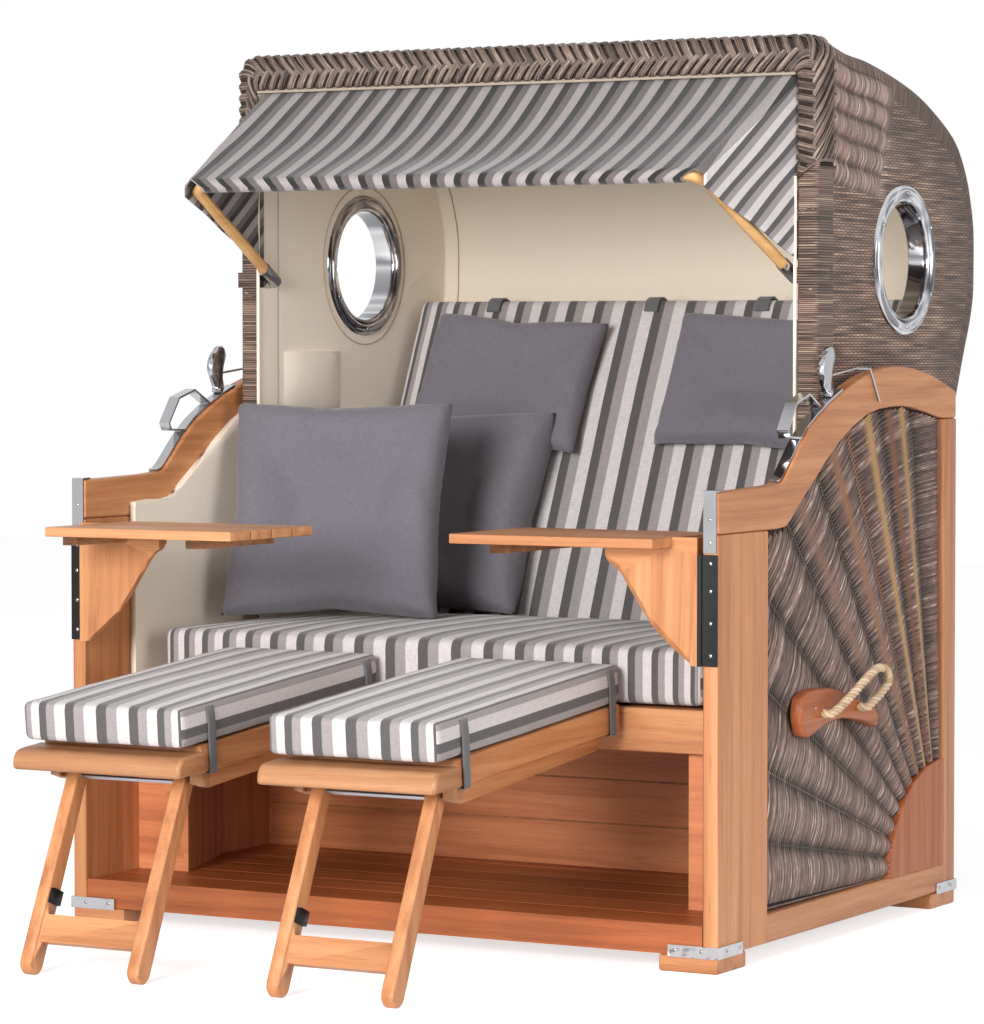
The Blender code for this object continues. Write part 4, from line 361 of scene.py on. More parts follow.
def woodMaterial(name, dark, middle, light, roughness=0.42):
    material, tree, shader = newMaterial(name, roughness, specular=0.4)
    grain = useGroup(tree, woodGrain, Place=readField(tree, "grain", "Vector"))
    colour = ramp(grain["Figure"], [(0.0, dark), (0.5, middle), (1.0, light)])
    colour = mixColour(grain["Pores"] * 0.30, colour, tuple(c * 0.42 for c in dark))
    tone = ramp(grain["Tone"], [(0.30, (0.90, 0.87, 0.85)), (0.70, (1.07, 1.07, 1.07))])
    wire(multiplied(colour, tone), shader["Base Color"])
    wire(grain["Figure"] * -0.12 + (roughness + 0.06), shader["Roughness"])
    wire(bump(grain["Figure"] - grain["Pores"], 0.0003, 0.5), shader["Normal"])
    return material


def metalMaterial(name, colour, low, high, metallic=1.0, dents=0.0, specular=0.5):
    material, tree, shader = newMaterial(name, low, metallic, specular)
    if dents:
        wire(bump(cloud(ownPlace(tree), scale=42.0), dents), shader["Normal"])
    spots = useGroup(tree, smudges, Place=ownPlace(tree), Low=low, High=high)
    wire(spots["Roughness"], shader["Roughness"])
    dust = ramp(spots["Dust"] * 0.25, [(0.0, colour), (1.0, tuple(c * 0.7 for c in colour))])
    wire(dust, shader["Base Color"])
    return material


def clothMaterial(name, colour=None, thread=0.0012, depth=0.00025, mottle=1.0, shade=1.0, contrast=1.0):
    # striped where no colour is given
    material, tree, shader = newMaterial(name, 0.88, specular=0.25, Sheen_Weight=0.25, Sheen_Roughness=0.5)
    where = readField(tree, "cloth", "Vector")
    threads = useGroup(tree, threadCloth, Place=where, Thread=thread)
    low, high = (1 - 0.16 * mottle) * shade, (1 + 0.12 * mottle) * shade
    if not colour:
        across = split(where)[0] + (stripes["offset"] + 5 * stripes["repeat"])
        bands = useGroup(tree, stripeBands, Across=across, Repeat=stripes["repeat"])["Color"]
        colour = place(tree, "ShaderNodeGamma", Color=bands, Gamma=contrast)
    tone = ramp(threads["Tone"], [(0.3, (low, low, low)), (0.7, (high, high, high))])
    wire(mixColour(1.0, tone, colour, "MULTIPLY"), shader["Base Color"])
    wire(bump(threads["Height"] + threads["Tone"], depth, 0.6), shader["Normal"])
    return material


caneTones = [(0.28, (0.072, 0.043, 0.033)), (0.45, (0.200, 0.125, 0.094)), (0.58, (0.33, 0.213, 0.160)),
             (0.72, (0.53, 0.375, 0.275))]
hoodTones = {"plain": [(0.0, (0.92, 0.84, 0.80)), (1.0, (1.28, 1.22, 1.18))],
             # crest tones: painted highlight on the flute crowns
             "crest": [(0.0, (1, 1, 1)), (1.0, (2.3, 2.65, 3.1))],
             # valley: painted shade in the flute valleys and towards the hood's rear; gap: painted shade between and
             # under the canes
             "valley": (0.050, 0.032, 0.026), "gap": (0.020, 0.013, 0.011)}


def caneSheetMaterial(name, pitch, stakes, weave, darker=1.0, second=None):
    # canes drawn on a sheet; a second layout takes over where the field "plain" is 1; a crest field paints highlight
    # on the flute crowns and the "valley" field paints shade into the flute valleys and towards the rear
    material, tree, shader = newMaterial(name, 0.55, specular=0.45)
    across, along, _ = split(readField(tree, "weave", "Vector"))
    first = useGroup(tree, caneStrands, Across=across, Along=along, Pitch=pitch, Stakes=stakes, Weave=weave)
    height, tone, gap = (first[label] for label in ("Height", "Tone", "Gap"))
    if second:
        _, y, z = split(ownPlace(tree))
        other = useGroup(tree, caneStrands, Across=z, Along=y, **second)
        mask = readField(tree, "plain").step("GREATER_THAN", 0.5)
        height, tone, gap = ((other[label] - first[label]) * mask + first[label]
                             for label in ("Height", "Tone", "Gap"))
    colour = ramp(tone, [(stop, tuple(c * darker for c in shade)) for stop, shade in caneTones])
    # painted shade between the canes and under the crossings
    colour = mixColour(gap * 0.9, colour, hoodTones["gap"])
    if second:
        colour = multiplied(colour, ramp(mask, hoodTones["plain"]))
        # painted highlight brightens the flute crowns
        colour = multiplied(colour, ramp(readField(tree, "crest"), hoodTones["crest"]))
        # painted shade in the flute valleys and towards the rear of the hood
        colour = mixColour(readField(tree, "valley") * 0.85, colour, hoodTones["valley"])
    wire(colour, shader["Base Color"])
    wire(bump(height, pitch * 0.55, 0.85), shader["Normal"])
    return material


sidePanel = {
    "hub": (0.9967, 0.0833), "board": (0.254, 0.206), "opening": (0.2033, 0.9967), "fluteTurn": 9.0,
    "fluteHeight": 0.010, "flat": 0.665, "pitch": 0.0043, "radius": 0.00215, "weave": 0.0011,
    # crown: painted shade in the flute valleys, painted highlight on the flute crowns
    "crown": [(0.0, (0.28, 0.27, 0.27)), (0.35, (0.85, 0.83, 0.82)), (0.95, (1.45, 1.40, 1.42))],
    "streaks": [(77.2, 1.3, (0.50, 0.29, 0.11), 1.5), (67.6, 1.5, (0.50, 0.29, 0.115), 1.5),
                (74.0, 1.0, (0.25, 0.10, 0.05), 1.2), (57.8, 1.5, (0.30, 0.145, 0.075), 1.3),
                (63.0, 1.2, (0.24, 0.105, 0.055), 1.2), (48.0, 1.4, (0.24, 0.14, 0.09), 1.0)],
    "tones": [(0.28, (0.038, 0.024, 0.020)), (0.47, (0.118, 0.074, 0.059)), (0.62, (0.188, 0.122, 0.096)),
              (0.72, (0.28, 0.198, 0.158)), (0.82, (0.52, 0.415, 0.33))]}


def fanShadeAndStreaks(tree, colour, flecks):
    # painted shade in the flute valleys, painted highlight on the flute crowns, and coloured streaks that run out
    # from the hub
    _, y, z = split(ownPlace(tree))
    turn = (z - sidePanel["hub"][1]).step("ARCTAN2", (y - (sidePanel["hub"][0] + shift.y)) * -1) * (180 / math.pi)
    pleat = (turn * (math.pi / sidePanel["fluteTurn"])).step("SINE").step("ABSOLUTE")
    colour = multiplied(colour, ramp(pleat, sidePanel["crown"]))
    for angle, width, shade, amount in sidePanel["streaks"]:
        near = ((turn - angle).step("ABSOLUTE") / -width + 1.0).held()
        colour = mixColour((near * (flecks + 0.35) * amount).held(), colour, shade)
    return colour


def strandMaterial(name, tones, fan=False):
    # canes that are real geometry: a tone for each strand, flecks along it
    material, tree, shader = newMaterial(name)
    own = readField(tree, "strand")
    flecks = cloud(joined(tree, X=readField(tree, "run") * 34.0, Y=own * 60.0), 2.0)
    colour = ramp(flecks * 0.62 + own * 0.42, tones)
    wire(fanShadeAndStreaks(tree, colour, flecks) if fan else colour, shader["Base Color"])
    wire(bump(cloud(stretched(ownPlace(tree), (900, 900, 900))), 0.0002, 0.5), shader["Normal"])
    return material


teak = woodMaterial("teak", (0.33, 0.118, 0.044), (0.54, 0.225, 0.090), (0.66, 0.325, 0.145))
teakDeep = woodMaterial("teakDeep", (0.225, 0.051, 0.014), (0.39, 0.106, 0.030), (0.50, 0.162, 0.050))
# a paler copy of the wood: painted light on the left table top
teakLight = woodMaterial("teakLight", (0.44, 0.185, 0.080), (0.68, 0.320, 0.145), (0.80, 0.43, 0.215))
# a paler copy of the wood: painted light on the cavity's back wall
teakWarm = woodMaterial("teakWarm", (0.37, 0.110, 0.040), (0.62, 0.220, 0.090), (0.74, 0.300, 0.130))
# a darker copy of the wood: painted shade on the footrest nose
teakSoft = woodMaterial("teakSoft", (0.25, 0.100, 0.042), (0.42, 0.190, 0.085), (0.52, 0.270, 0.130))
teakInner = woodMaterial("teakInner", (0.24, 0.078, 0.032), (0.40, 0.145, 0.060), (0.50, 0.205, 0.090), 0.5)
teakPale = woodMaterial("teakPale", (0.52, 0.27, 0.095), (0.68, 0.39, 0.155), (0.78, 0.49, 0.22))
chrome = metalMaterial("chrome", (0.46, 0.46, 0.48), 0.08, 0.24)
steelDull = metalMaterial("steelDull", (0.38, 0.38, 0.40), 0.25, 0.42)
blackPaint = metalMaterial("blackPaint", (0.008, 0.008, 0.009), 0.30, 0.50, 0.0, specular=0.22)
footSteel = metalMaterial("footSteel", (0.48, 0.48, 0.50), 0.12, 0.26, dents=0.006)
stripedCloth = clothMaterial("stripedCloth")
# a darker, harsher copy of the striped cloth: painted shade over the awning
awningCloth = clothMaterial("awningCloth", shade=0.77, contrast=1.48)
# a paler copy of the striped cloth: painted light on the awning's cheeks
cheekCloth = clothMaterial("cheekCloth", shade=1.18, contrast=1.08)
greyCloth = clothMaterial("greyCloth", (0.165, 0.153, 0.178), 0.0016, 0.0004)
creamCloth = clothMaterial("creamCloth", (0.88, 0.77, 0.63), 0.0010, 0.0001, mottle=0.25)
pipingCloth = clothMaterial("pipingCloth", (0.42, 0.34, 0.26), 0.0010, 0.0001)
strapWeb = clothMaterial("strapWeb", (0.13, 0.125, 0.13), 0.0028, 0.0006)
seamThread = clothMaterial("seamThread", (0.46, 0.35, 0.25), 0.0010, 0.0002)
hoodCane = caneSheetMaterial("hoodCane", 0.0042, 0.034, 0.30,
                             second={"Pitch": 0.0050, "Stakes": 0.0098, "Weave": 0.85})
wrapCane = caneSheetMaterial("wrapCane", 0.0036, 0.9, 0.0, 1.06)
wrapDark = caneSheetMaterial("wrapDark", 0.0050, 0.9, 0.0, 0.66)
rearCane = caneSheetMaterial("rearCane", 0.0045, 0.0125, 0.7)
panelCane = strandMaterial("panelCane", sidePanel["tones"], fan=True)
braidCane = strandMaterial("braidCane", [(0.28, (0.048, 0.031, 0.025)), (0.50, (0.140, 0.093, 0.073)),
                                         (0.66, (0.24, 0.168, 0.134)), (0.82, (0.42, 0.32, 0.25))])
ropeFibre = strandMaterial("ropeFibre", [(0.3, (0.36, 0.22, 0.11)), (0.55, (0.60, 0.43, 0.27)),
                                         (0.8, (0.78, 0.63, 0.46))])
# a near-black sheet under the canes: painted shade seen between them
panelBacking, shadeBackingTree, shadeBackingShader = newMaterial("panelBacking", 0.9, specular=0.1)
wire(ramp(cloud(ownPlace(shadeBackingTree), 2.0, scale=160.0),
          [(0.3, (0.022, 0.016, 0.014)), (0.7, (0.055, 0.040, 0.034))]),
     shadeBackingShader["Base Color"])
print("materials ready")


def makeStrandSweep():
    # edges become round canes; each keeps its own tone and the length along it
    tree, inp = newTree("strandSweep", "Geometry", Geometry="Geometry", Radius=0.002, Sides=6, Uneven=0.1,
                        Seed=3, Material="Material")
    curve = place(tree, "GeometryNodeMeshToCurve", Mesh=inp["Geometry"])
    chance = place(tree, "FunctionNodeRandomValue", 1, Seed=inp["Seed"])
    length = place(tree, "GeometryNodeSplineParameter", "Length")
    for name, domain, value in (("strand", "CURVE", chance), ("run", "POINT", length)):
        curve = place(tree, "GeometryNodeStoreNamedAttribute", 0, {"data_type": "FLOAT", "domain": domain},
                      Geometry=curve, Name=name, Value=value)
    girth = (place(tree, "ShaderNodeTexNoise", Scale=60.0) - 0.5) * inp["Uneven"] + 1.0
    curve = place(tree, "GeometryNodeSetCurveRadius", Curve=curve, Radius=girth)
    ring = place(tree, "GeometryNodeCurvePrimitiveCircle", Resolution=inp["Sides"], Radius=inp["Radius"])
    solid = place(tree, "GeometryNodeCurveToMesh", Curve=curve, Profile_Curve=ring, Fill_Caps=True,
                  Scale=place(tree, "GeometryNodeInputRadius"))
    solid = place(tree, "GeometryNodeSetShadeSmooth", Geometry=solid)
    solid = place(tree, "GeometryNodeRealizeInstances", Geometry=solid)
    return closeTree(tree, Geometry=place(tree, "GeometryNodeSetMaterial", Geometry=solid, Material=inp["Material"]))


def makeScrewSet():
    # a domed head with a cross recess on each point, turned to the point's aim
    tree, inp = newTree("screwSet", "Geometry", Geometry="Geometry", Radius=0.003, Head="Material",
                        Recess="Material")
    radius = inp["Radius"]
    ball = place(tree, "GeometryNodeMeshUVSphere", Segments=14, Rings=8, Radius=radius)
    dome = place(tree, "GeometryNodeTransform", Geometry=ball, Scale=(1, 1, 0.42))
    screw = tree.nodes.new("GeometryNodeJoinGeometry")
    for turn in (0.0, math.pi / 2):
        size = joined(tree, X=radius * 1.05, Y=radius * 0.20, Z=radius * 0.25)
        bar = place(tree, "GeometryNodeTransform", Geometry=place(tree, "GeometryNodeMeshCube", Size=size),
                    Translation=joined(tree, Z=radius * 0.30), Rotation=(0, 0, turn))
        wire(place(tree, "GeometryNodeSetMaterial", Geometry=bar, Material=inp["Recess"]), screw.inputs[0])
    wire(place(tree, "GeometryNodeSetMaterial", Geometry=dome, Material=inp["Head"]), screw.inputs[0])
    aim = place(tree, "GeometryNodeInputNamedAttribute", 0, {"data_type": "FLOAT_VECTOR"}, Name="aim")
    turn = place(tree, "FunctionNodeAlignRotationToVector", 0, {"axis": "Z"}, Vector=aim)
    points = place(tree, "GeometryNodeMeshToPoints", Mesh=inp["Geometry"])
    spots = place(tree, "GeometryNodeInstanceOnPoints", Points=points, Instance=Signal(tree, screw.outputs[0]),
                  Rotation=turn)
    real = place(tree, "GeometryNodeRealizeInstances", Geometry=spots)
    return closeTree(tree, Geometry=place(tree, "GeometryNodeSetShadeSmooth", Geometry=real))


strandSweep, screwSet = makeStrandSweep(), makeScrewSet()


def growFrom(obj, tree, **values):
    modifier = obj.modifiers.new(tree.name, "NODES")
    modifier.node_group = tree
    for item in tree.interface.items_tree:
        if item.in_out == "INPUT" and item.name in values:
            modifier[item.identifier] = values[item.name]
    return bake(obj)


def sweep(name, runs, radius, material, sideCount=6, uneven=0.1, seed=3):
    # runs are lists of points in chair axes
    points, edges = [], []
    for run in runs:
        start = len(points)
        points += [Vector(p) + shift for p in run]
        edges += [(i, i + 1) for i in range(start, len(points) - 1)]
    return growFrom(newPiece(name, points, [], edges=edges), strandSweep, Radius=radius, Sides=sideCount,
                    Uneven=uneven, Seed=seed, Material=material)


def screws(name, spots, radius, body, head=chrome):
    # spots are (point, aim) in chair axes
    obj = newPiece(name, [Vector(p) + shift for p, _ in spots], [])
    addField(obj, "aim", [a for _, a in spots])
    return add(growFrom(obj, screwSet, Radius=radius, Head=head, Recess=blackPaint), body)


def copyNode(name, cuts=(), angle=32):
    # a welded copy of a CAD node, smooth over its round parts
    shape = bmesh.new()
    shape.from_mesh(nodes[name].data)
    bmesh.ops.remove_doubles(shape, verts=shape.verts[:], dist=0.00003)
    bmesh.ops.dissolve_degenerate(shape, edges=shape.edges[:], dist=0.00003)
    for point, normal in cuts:
        bmesh.ops.bisect_plane(shape, geom=shape.verts[:] + shape.edges[:] + shape.faces[:], dist=0.00001,
                               plane_co=Vector(point) + shift, plane_no=normal)
    mesh = bpy.data.meshes.new(name + "_dressed")
    shape.to_mesh(mesh)
    shape.free()
    for layer in list(mesh.uv_layers):
        mesh.uv_layers.remove(layer)
    mesh.polygons.foreach_set("use_smooth", [True] * len(mesh.polygons))
    mesh.set_sharp_from_angle(angle=math.radians(angle))
    obj = newObject(name + "_dressed", mesh)
    even = obj.modifiers.new("even", "WEIGHTED_NORMAL")  # the wide faces set the shading
    even.weight, even.keep_sharp = 100, True
    return bake(obj)


def boardSeed(text, number):
    return (sum(ord(c) * (i + 3) for i, c in enumerate(text)) * 0.37 + number * 1.93) % 17.0


def grainField(obj, rule):
    # rule(centre, normal) gives the grain's axis and the board's number
    values = np.zeros((len(obj.data.loops), 3), np.float32)
    turns = {"x": (0, 1, 2), "y": (1, 2, 0), "z": (2, 0, 1)}
    for face in obj.data.polygons:
        axis, number = rule(face.center - shift, face.normal)
        seed = boardSeed(obj.name, number)
        for loop in face.loop_indices:
            co = obj.data.vertices[obj.data.loops[loop].vertex_index].co
            values[loop] = [co[k] + seed * share for k, share in zip(turns[axis], (1.31, 1.0, 0.7))]
    addField(obj, "grain", values)


def woodPiece(name, finish, rule, cuts=()):
    piece = copyNode(name, cuts)
    grainField(piece, rule)
    return dress(piece, name, finish)


frameRule = {"post": 0.203, "stile": 0.997, "rail": 0.083}
footRule = {"centre": 0.253, "rail": 0.138, "nose": -0.40, "legs": 0.094}
legCatch = {"inner": -0.0995, "outer": -0.0885, "low": 0.10, "high": 0.18, "rod": 0.30}


def fromMiddle(centre):
    # how far a point lies from the middle of its footrest
    return centre.x - math.copysign(footRule["centre"], centre.x)


def sideFrameGrain(centre, normal):
    if centre.y < frameRule["post"]:
        return "z", 0
    if centre.y > frameRule["stile"]:
        return "z", 1
    return ("y", 2) if centre.z < frameRule["rail"] else ("z", 3)


def footFrameGrain(centre, normal):
    away = fromMiddle(centre)
    return ("y", 1 if away > 0 else 2) if abs(away) > footRule["rail"] else ("x", 3 + int(centre.y * 12))


def legGrain(centre, normal):
    away = fromMiddle(centre)
    return ("x", 3) if abs(away) < footRule["legs"] and centre.z < 0.2 else ("z", 1 if away > 0 else 2)


woodNodes = {
    "side_frame": (teak, sideFrameGrain), "arm": (teak, lambda c, n: ("y", 0)),
    "corner_board": (teakDeep, lambda c, n: ("z", 0)), "handle_board": (teakDeep, lambda c, n: ("y", 0)),
    "table_top": (teak, lambda c, n: ("x", int(c.y / 0.07))),
    "table_bracket": (teak, lambda c, n: ("z", 0) if c.z < 0.71 else ("x", 1)),
    "footrest_frame": (teak, footFrameGrain), "footrest_legs": (teak, legGrain)}
frameCuts = [((0, frameRule["post"], 0), (0, 1, 0)), ((0, frameRule["stile"], 0), (0, 1, 0)),
             ((0, 0, frameRule["rail"]), (0, 0, 1))]
for stem, (finish, rule) in woodNodes.items():
    for side in ("left", "right"):
        name = stem + "_" + side
        # the left table top gets the paler copy of the wood: painted light
        piece = woodPiece(name, teakLight if name == "table_top_left" else finish, rule,
                          frameCuts if stem == "side_frame" else ())
        if stem == "footrest_frame":  # the nose board gets a darker copy of the wood: painted shade
            paint(piece, teakSoft, lambda c, n: c.y < footRule["nose"])
        if stem == "footrest_legs":  # black catch, steel rod
            paint(piece, blackPaint, lambda c, n: legCatch["inner"] < fromMiddle(c) < legCatch["outer"]
                  and legCatch["low"] < c.z < legCatch["high"])
            paint(piece, steelDull, lambda c, n: abs(fromMiddle(c)) < -legCatch["inner"]
                  and c.z > legCatch["rod"])
for name, finish, rule in (
        ("floor_boards", teakDeep, lambda c, n: ("x", int(c.y / 0.114))),
        ("cavity_walls", teakInner, lambda c, n: ("x", int(c.z * 12)) if abs(n.y) > 0.7 else ("z", int(c.y * 8))),
        ("seat_rail", teak, lambda c, n: ("x", 0)), ("seat_deck", teakInner, lambda c, n: ("x", int(c.y * 10))),
        ("backrest_board", teakInner, lambda c, n: ("x", int(c.z * 9)))):
    piece = woodPiece(name, finish, rule)
    if name == "cavity_walls":  # the back wall gets a paler copy of the wood: painted light where it falls in
        paint(piece, teakWarm, lambda c, n: n.y < -0.7)
bow = woodPiece("awning_bow", teakPale, lambda c, n: ("x", 0) if c.y < 0.222 and abs(c.x) < 0.52 else ("y", 1))
paint(bow, chrome, lambda c, n: c.y > 0.494)  # the steel ferrules at the pivots
footPlate = {"low": 0.0297, "shares": (0.28, 0.72)}
feet = ("foot_front_left", "foot_front_right", "foot_rear_left", "foot_rear_right")
for name in feet:
    paint(woodPiece(name, teak, lambda c, n: ("x", 0)), footSteel, lambda c, n: c.z > footPlate["low"])
for stem, finish in (("arm_strap", chrome), ("arm_fitting", chrome), ("latch", chrome), ("hood_pivot", steelDull),
                     ("awning_clamp", chrome), ("post_hinge", blackPaint)):
    for side in ("left", "right"):
        piece = dress(copyNode(stem + "_" + side, angle=40), stem + "_" + side, finish)
        if stem == "awning_clamp":  # canes are wound over the strap round the post
            addField(piece, "weave", [(v.co.z, v.co.x + v.co.y, 0) for v in piece.data.vertices])
            paint(piece, wrapDark, lambda c, n: abs(c.x) > 0.592)
print("wood and metal dressed")


def clothField(obj):
    # threads lie in the plane that the face looks out of
    values = np.zeros((len(obj.data.loops), 3), np.float32)
    for face in obj.data.polygons:
        x, y, z = (abs(a) for a in face.normal)
        order = (1, 2) if x >= max(y, z) else (0, 2) if y > z else (0, 1)
        for loop in face.loop_indices:
            co = obj.data.vertices[obj.data.loops[loop].vertex_index].co
            values[loop] = (co[order[0]], co[order[1]], 0)
    addField(obj, "cloth", values)


for name in ("side_lining_left", "side_lining_right", "hood_lining"):
    piece = copyNode(name, angle=45)
    clothField(piece)
    dress(piece, name, creamCloth)
print("linings dressed")

def onSide(runs, side):
    return [[(side * p[0], p[1], p[2]) for p in run] for run in runs]


hood = {"half": 0.625, "height": 1.660, "front": 0.512, "depth": 0.782, "rimDepth": 0.0783, "bottom": 0.460,
        "tail": (0.958, 0.435), "round": 0.030, "profileHeight": 0.860, "shell": 0.012, "spacing": 0.012,
        "shares": [(0.10, 1.0), (0.217, 0.979), (0.335, 0.969), (0.425, 0.956), (0.515, 0.940), (0.609, 0.920),
                   (0.703, 0.893), (0.799, 0.856), (0.864, 0.824), (0.910, 0.787), (0.951, 0.735), (0.978, 0.678),
                   (0.998, 0.609), (1.0, 0.516), (0.995, 0.445), (0.969, 0.376), (0.937, 0.317),
                    (0.886, 0.214), (0.780, 0.0)],
        "roofColumns": 56, "sideColumns": 110, "roundColumns": 5,
        "window": (0.921, 1.257), "windowCut": 0.126,
        "flute": 0.045, "fluteStart": 0.032, "fluteDepth": 0.0110, "fluteBand": 0.257, "edgeBand": 0.055,
        "fluteEnd": 0.27, "backShade": 0.50}


def hoodProfile():
    low = hood["height"] - hood["profileHeight"]
    points = [(hood["front"] + a * hood["depth"], low + u * hood["profileHeight"]) for a, u in hood["shares"]]
    points[0] = (hood["front"] + hood["rimDepth"], hood["height"])
    line = smoothLine(points, 2) + [Vector(hood["tail"])]
    return evenLine(smoothLine([tuple(p) for p in line], 3), hood["spacing"])


def insetLine(line, distance):
    shifted = []
    for i, here in enumerate(line):
        way = (line[min(i + 1, len(line) - 1)] - line[max(i - 1, 0)]).normalized()
        shifted.append(here + Vector((way.y, -way.x)) * distance)
    return shifted


def buildHoodSkin():
    profile = hoodProfile()
    rows = len(profile)
    front = hood["front"] + hood["rimDepth"]
    along = np.cumsum([0] + [(b - a).length for a, b in zip(profile, profile[1:])])
    half, radius = hood["half"], hood["round"]
    inset = insetLine(profile, radius)
    inset[0].x = front
    edge = np.array([list(p) for p in profile])
    columns = []
    for c in range(hood["sideColumns"]):
        t = 1 - c / hood["sideColumns"]
        line = []
        for i, p in enumerate(inset):
            fall = (hood["height"] - radius - hood["bottom"]) * along[i] / along[-1]
            q = p.lerp(Vector((front, hood["height"] - radius - fall)), t)
            line.append((half, q.x, q.y))
        columns.append(line)
    for c in range(hood["roundColumns"]):
        angle = math.pi / 2 * c / hood["roundColumns"]
        line = insetLine(profile, radius * (1 - math.sin(angle)))
        line[0].x = front
        columns.append([(half - radius * (1 - math.cos(angle)), p.x, p.y) for p in line])
    for c in range(hood["roofColumns"] // 2 + 1):
        x = (half - radius) * (1 - 2 * c / hood["roofColumns"])
        columns.append([(x, p.x, p.y) for p in profile])
    mirror = [[(-x, y, z) for x, y, z in line] for line in columns[:-1][::-1]]
    columns += mirror
    count = len(columns)
    points = np.array([columns[c][r] for r in range(rows) for c in range(count)])
    # arc length along the hood's edge and distance round its side, for the canes
    weave = np.zeros((len(points), 3))
    plain, valley, crest = (np.zeros(len(points)) for _ in range(3))
    for k, (x, y, z) in enumerate(points):
        r, c = divmod(k, count)
        column = min(c, count - 1 - c)
        # painted shadow over the rear of the hood
        valley[k] = hood["backShade"] * min(max((along[r] - hood["fluteEnd"] - 0.02) / 0.10, 0), 1)
        if column >= hood["sideColumns"]:
            inRound = column < hood["sideColumns"] + hood["roundColumns"]
            turn = (column - hood["sideColumns"]) / hood["roundColumns"] * math.pi / 2 if inRound else math.pi / 2
            girth = half - radius + radius * (math.pi / 2 - turn) if inRound else abs(x)
            weave[k] = (along[r], girth, 0)
            continue
        nearest = np.hypot(edge[:, 0] - y, edge[:, 1] - z)
        j = int(np.argmin(nearest))
        j = min(max(j, 1), len(edge) - 2)
        run = edge[j + 1] - edge[j - 1]
        step = np.dot((y - edge[j, 0], z - edge[j, 1]), run) / np.linalg.norm(run)
        down = nearest[j] if abs(step) < 1e-9 else math.sqrt(max(nearest[j] ** 2 - step ** 2, 0))
        s = along[j] + step
        weave[k] = (s, half + down - radius * 0.43, 0)
        fade = min(max((hood["fluteEnd"] + 0.03 - s) / 0.06, 0), 1)
        band = hood["edgeBand"] + (hood["fluteBand"] - hood["edgeBand"]) * fade
        plain[k] = min(max((down - band) / 0.008 + 0.5, 0), 1)
        # painted shadow near the rear edge of the hood side
        valley[k] *= min(max((0.17 - down) / 0.05, 0), 1) * (1 - fade)
        if hood["fluteStart"] < down < hood["fluteBand"]:
            flute = abs(math.sin(math.pi * (down - hood["fluteStart"]) / hood["flute"]))
            points[k][0] += math.copysign(hood["fluteDepth"] * (flute ** 0.7 - 0.3) * fade, x)
            # painted shade in the flute valleys
            valley[k] = max(valley[k], max(0, 1 - flute / 0.5) * fade)
            # painted highlight on the flute crowns
            crest[k] = (0.45 + 0.55 * flute) * fade
    faces = []
    wy, wz = hood["window"]
    for face in gridFaces(rows, count, flip=True):
        centre = points[list(face)].mean(0)
        if abs(centre[0]) > half - 0.02 and math.hypot(centre[1] - wy, centre[2] - wz) < hood["windowCut"]:
            continue
        faces.append(face)
    skin = newPiece("hoodSkin", points + np.array(shift), faces)
    for name, values in (("weave", weave), ("plain", plain), ("valley", valley), ("crest", crest)):
        addField(skin, name, values)
    shape = bmesh.new()
    shape.from_mesh(skin.data)
    bmesh.ops.delete(shape, geom=[v for v in shape.verts if not v.link_faces], context="VERTS")
    shape.to_mesh(skin.data)
    shape.free()
    return weld(thicken(skin, hood["shell"], -1), 0.00005)


hoodSkin = dress(buildHoodSkin(), "hood_shell", hoodCane)
print("hood woven")

rim = {"outer": 0.631, "width": 0.042, "top": 1.660, "topHeight": 0.063, "corner": 0.035, "innerCorner": 0.010,
       "front": 0.512, "depth": 0.078, "edge": 0.0118, "bottom": 0.460, "cornerSteps": 8,
       "braidLow": 1.415, "darkBand": (1.190, 1.345),
       "arm": 0.0225, "canes": 4, "cane": 0.0021, "canePitch": 0.0037, "slant": 1.05, "lift": 0.0085, "reach": 0.075,
       "middles": (0.31, 0.20, 0.20, 0.215)}


def rimStations():
    # (outer point, inner point) in x and z, up the right post and down the left
    outer, inner = rim["outer"], rim["outer"] - rim["width"]
    under = rim["top"] - rim["topHeight"]
    right = []
    z = rim["bottom"]
    while z < rim["top"] - rim["corner"] - 0.004:
        share = (z - rim["bottom"]) / (rim["top"] - rim["corner"] - rim["bottom"])
        low = rim["bottom"] + share * (under - rim["innerCorner"] - rim["bottom"])
        right.append((Vector((outer, z)), Vector((inner, low))))
        z += 0.009
    for i in range(rim["cornerSteps"] + 1):
        a = math.pi / 2 * i / rim["cornerSteps"]
        bend = Vector((1 - math.cos(a), 1 - math.sin(a)))
        right.append((Vector((outer, rim["top"])) - bend * rim["corner"],
                      Vector((inner, under)) - bend * rim["innerCorner"]))
    start = right[-1]
    across = []
    count = 120
    for i in range(1, count):
        t = 1 - 2 * i / count
        across.append((Vector((start[0].x * t, start[0].y)), Vector((start[1].x * t, start[1].y))))
    left = [(Vector((-o.x, o.y)), Vector((-n.x, n.y))) for o, n in right[::-1]]
    return right + across + left


def rimSection(steps=6):
    # (share from the inner to the outer side, depth, and the outward direction)
    width, edge, small = rim["width"], rim["edge"], rim["edge"] * 0.5
    front, back = rim["front"], rim["front"] + rim["depth"]
    points = []
    for (cx, cy), radius, start in (((small, front + small), small, 180), ((width - edge, front + edge), edge, 270),
                                    ((width - edge, back - edge), edge, 0), ((small, back - small), small, 90)):
        for i in range(steps + 1):
            a = math.radians(start + 90 * i / steps)
            points.append(((cx + radius * math.cos(a)) / width, cy + radius * math.sin(a), math.cos(a), math.sin(a)))
    return points


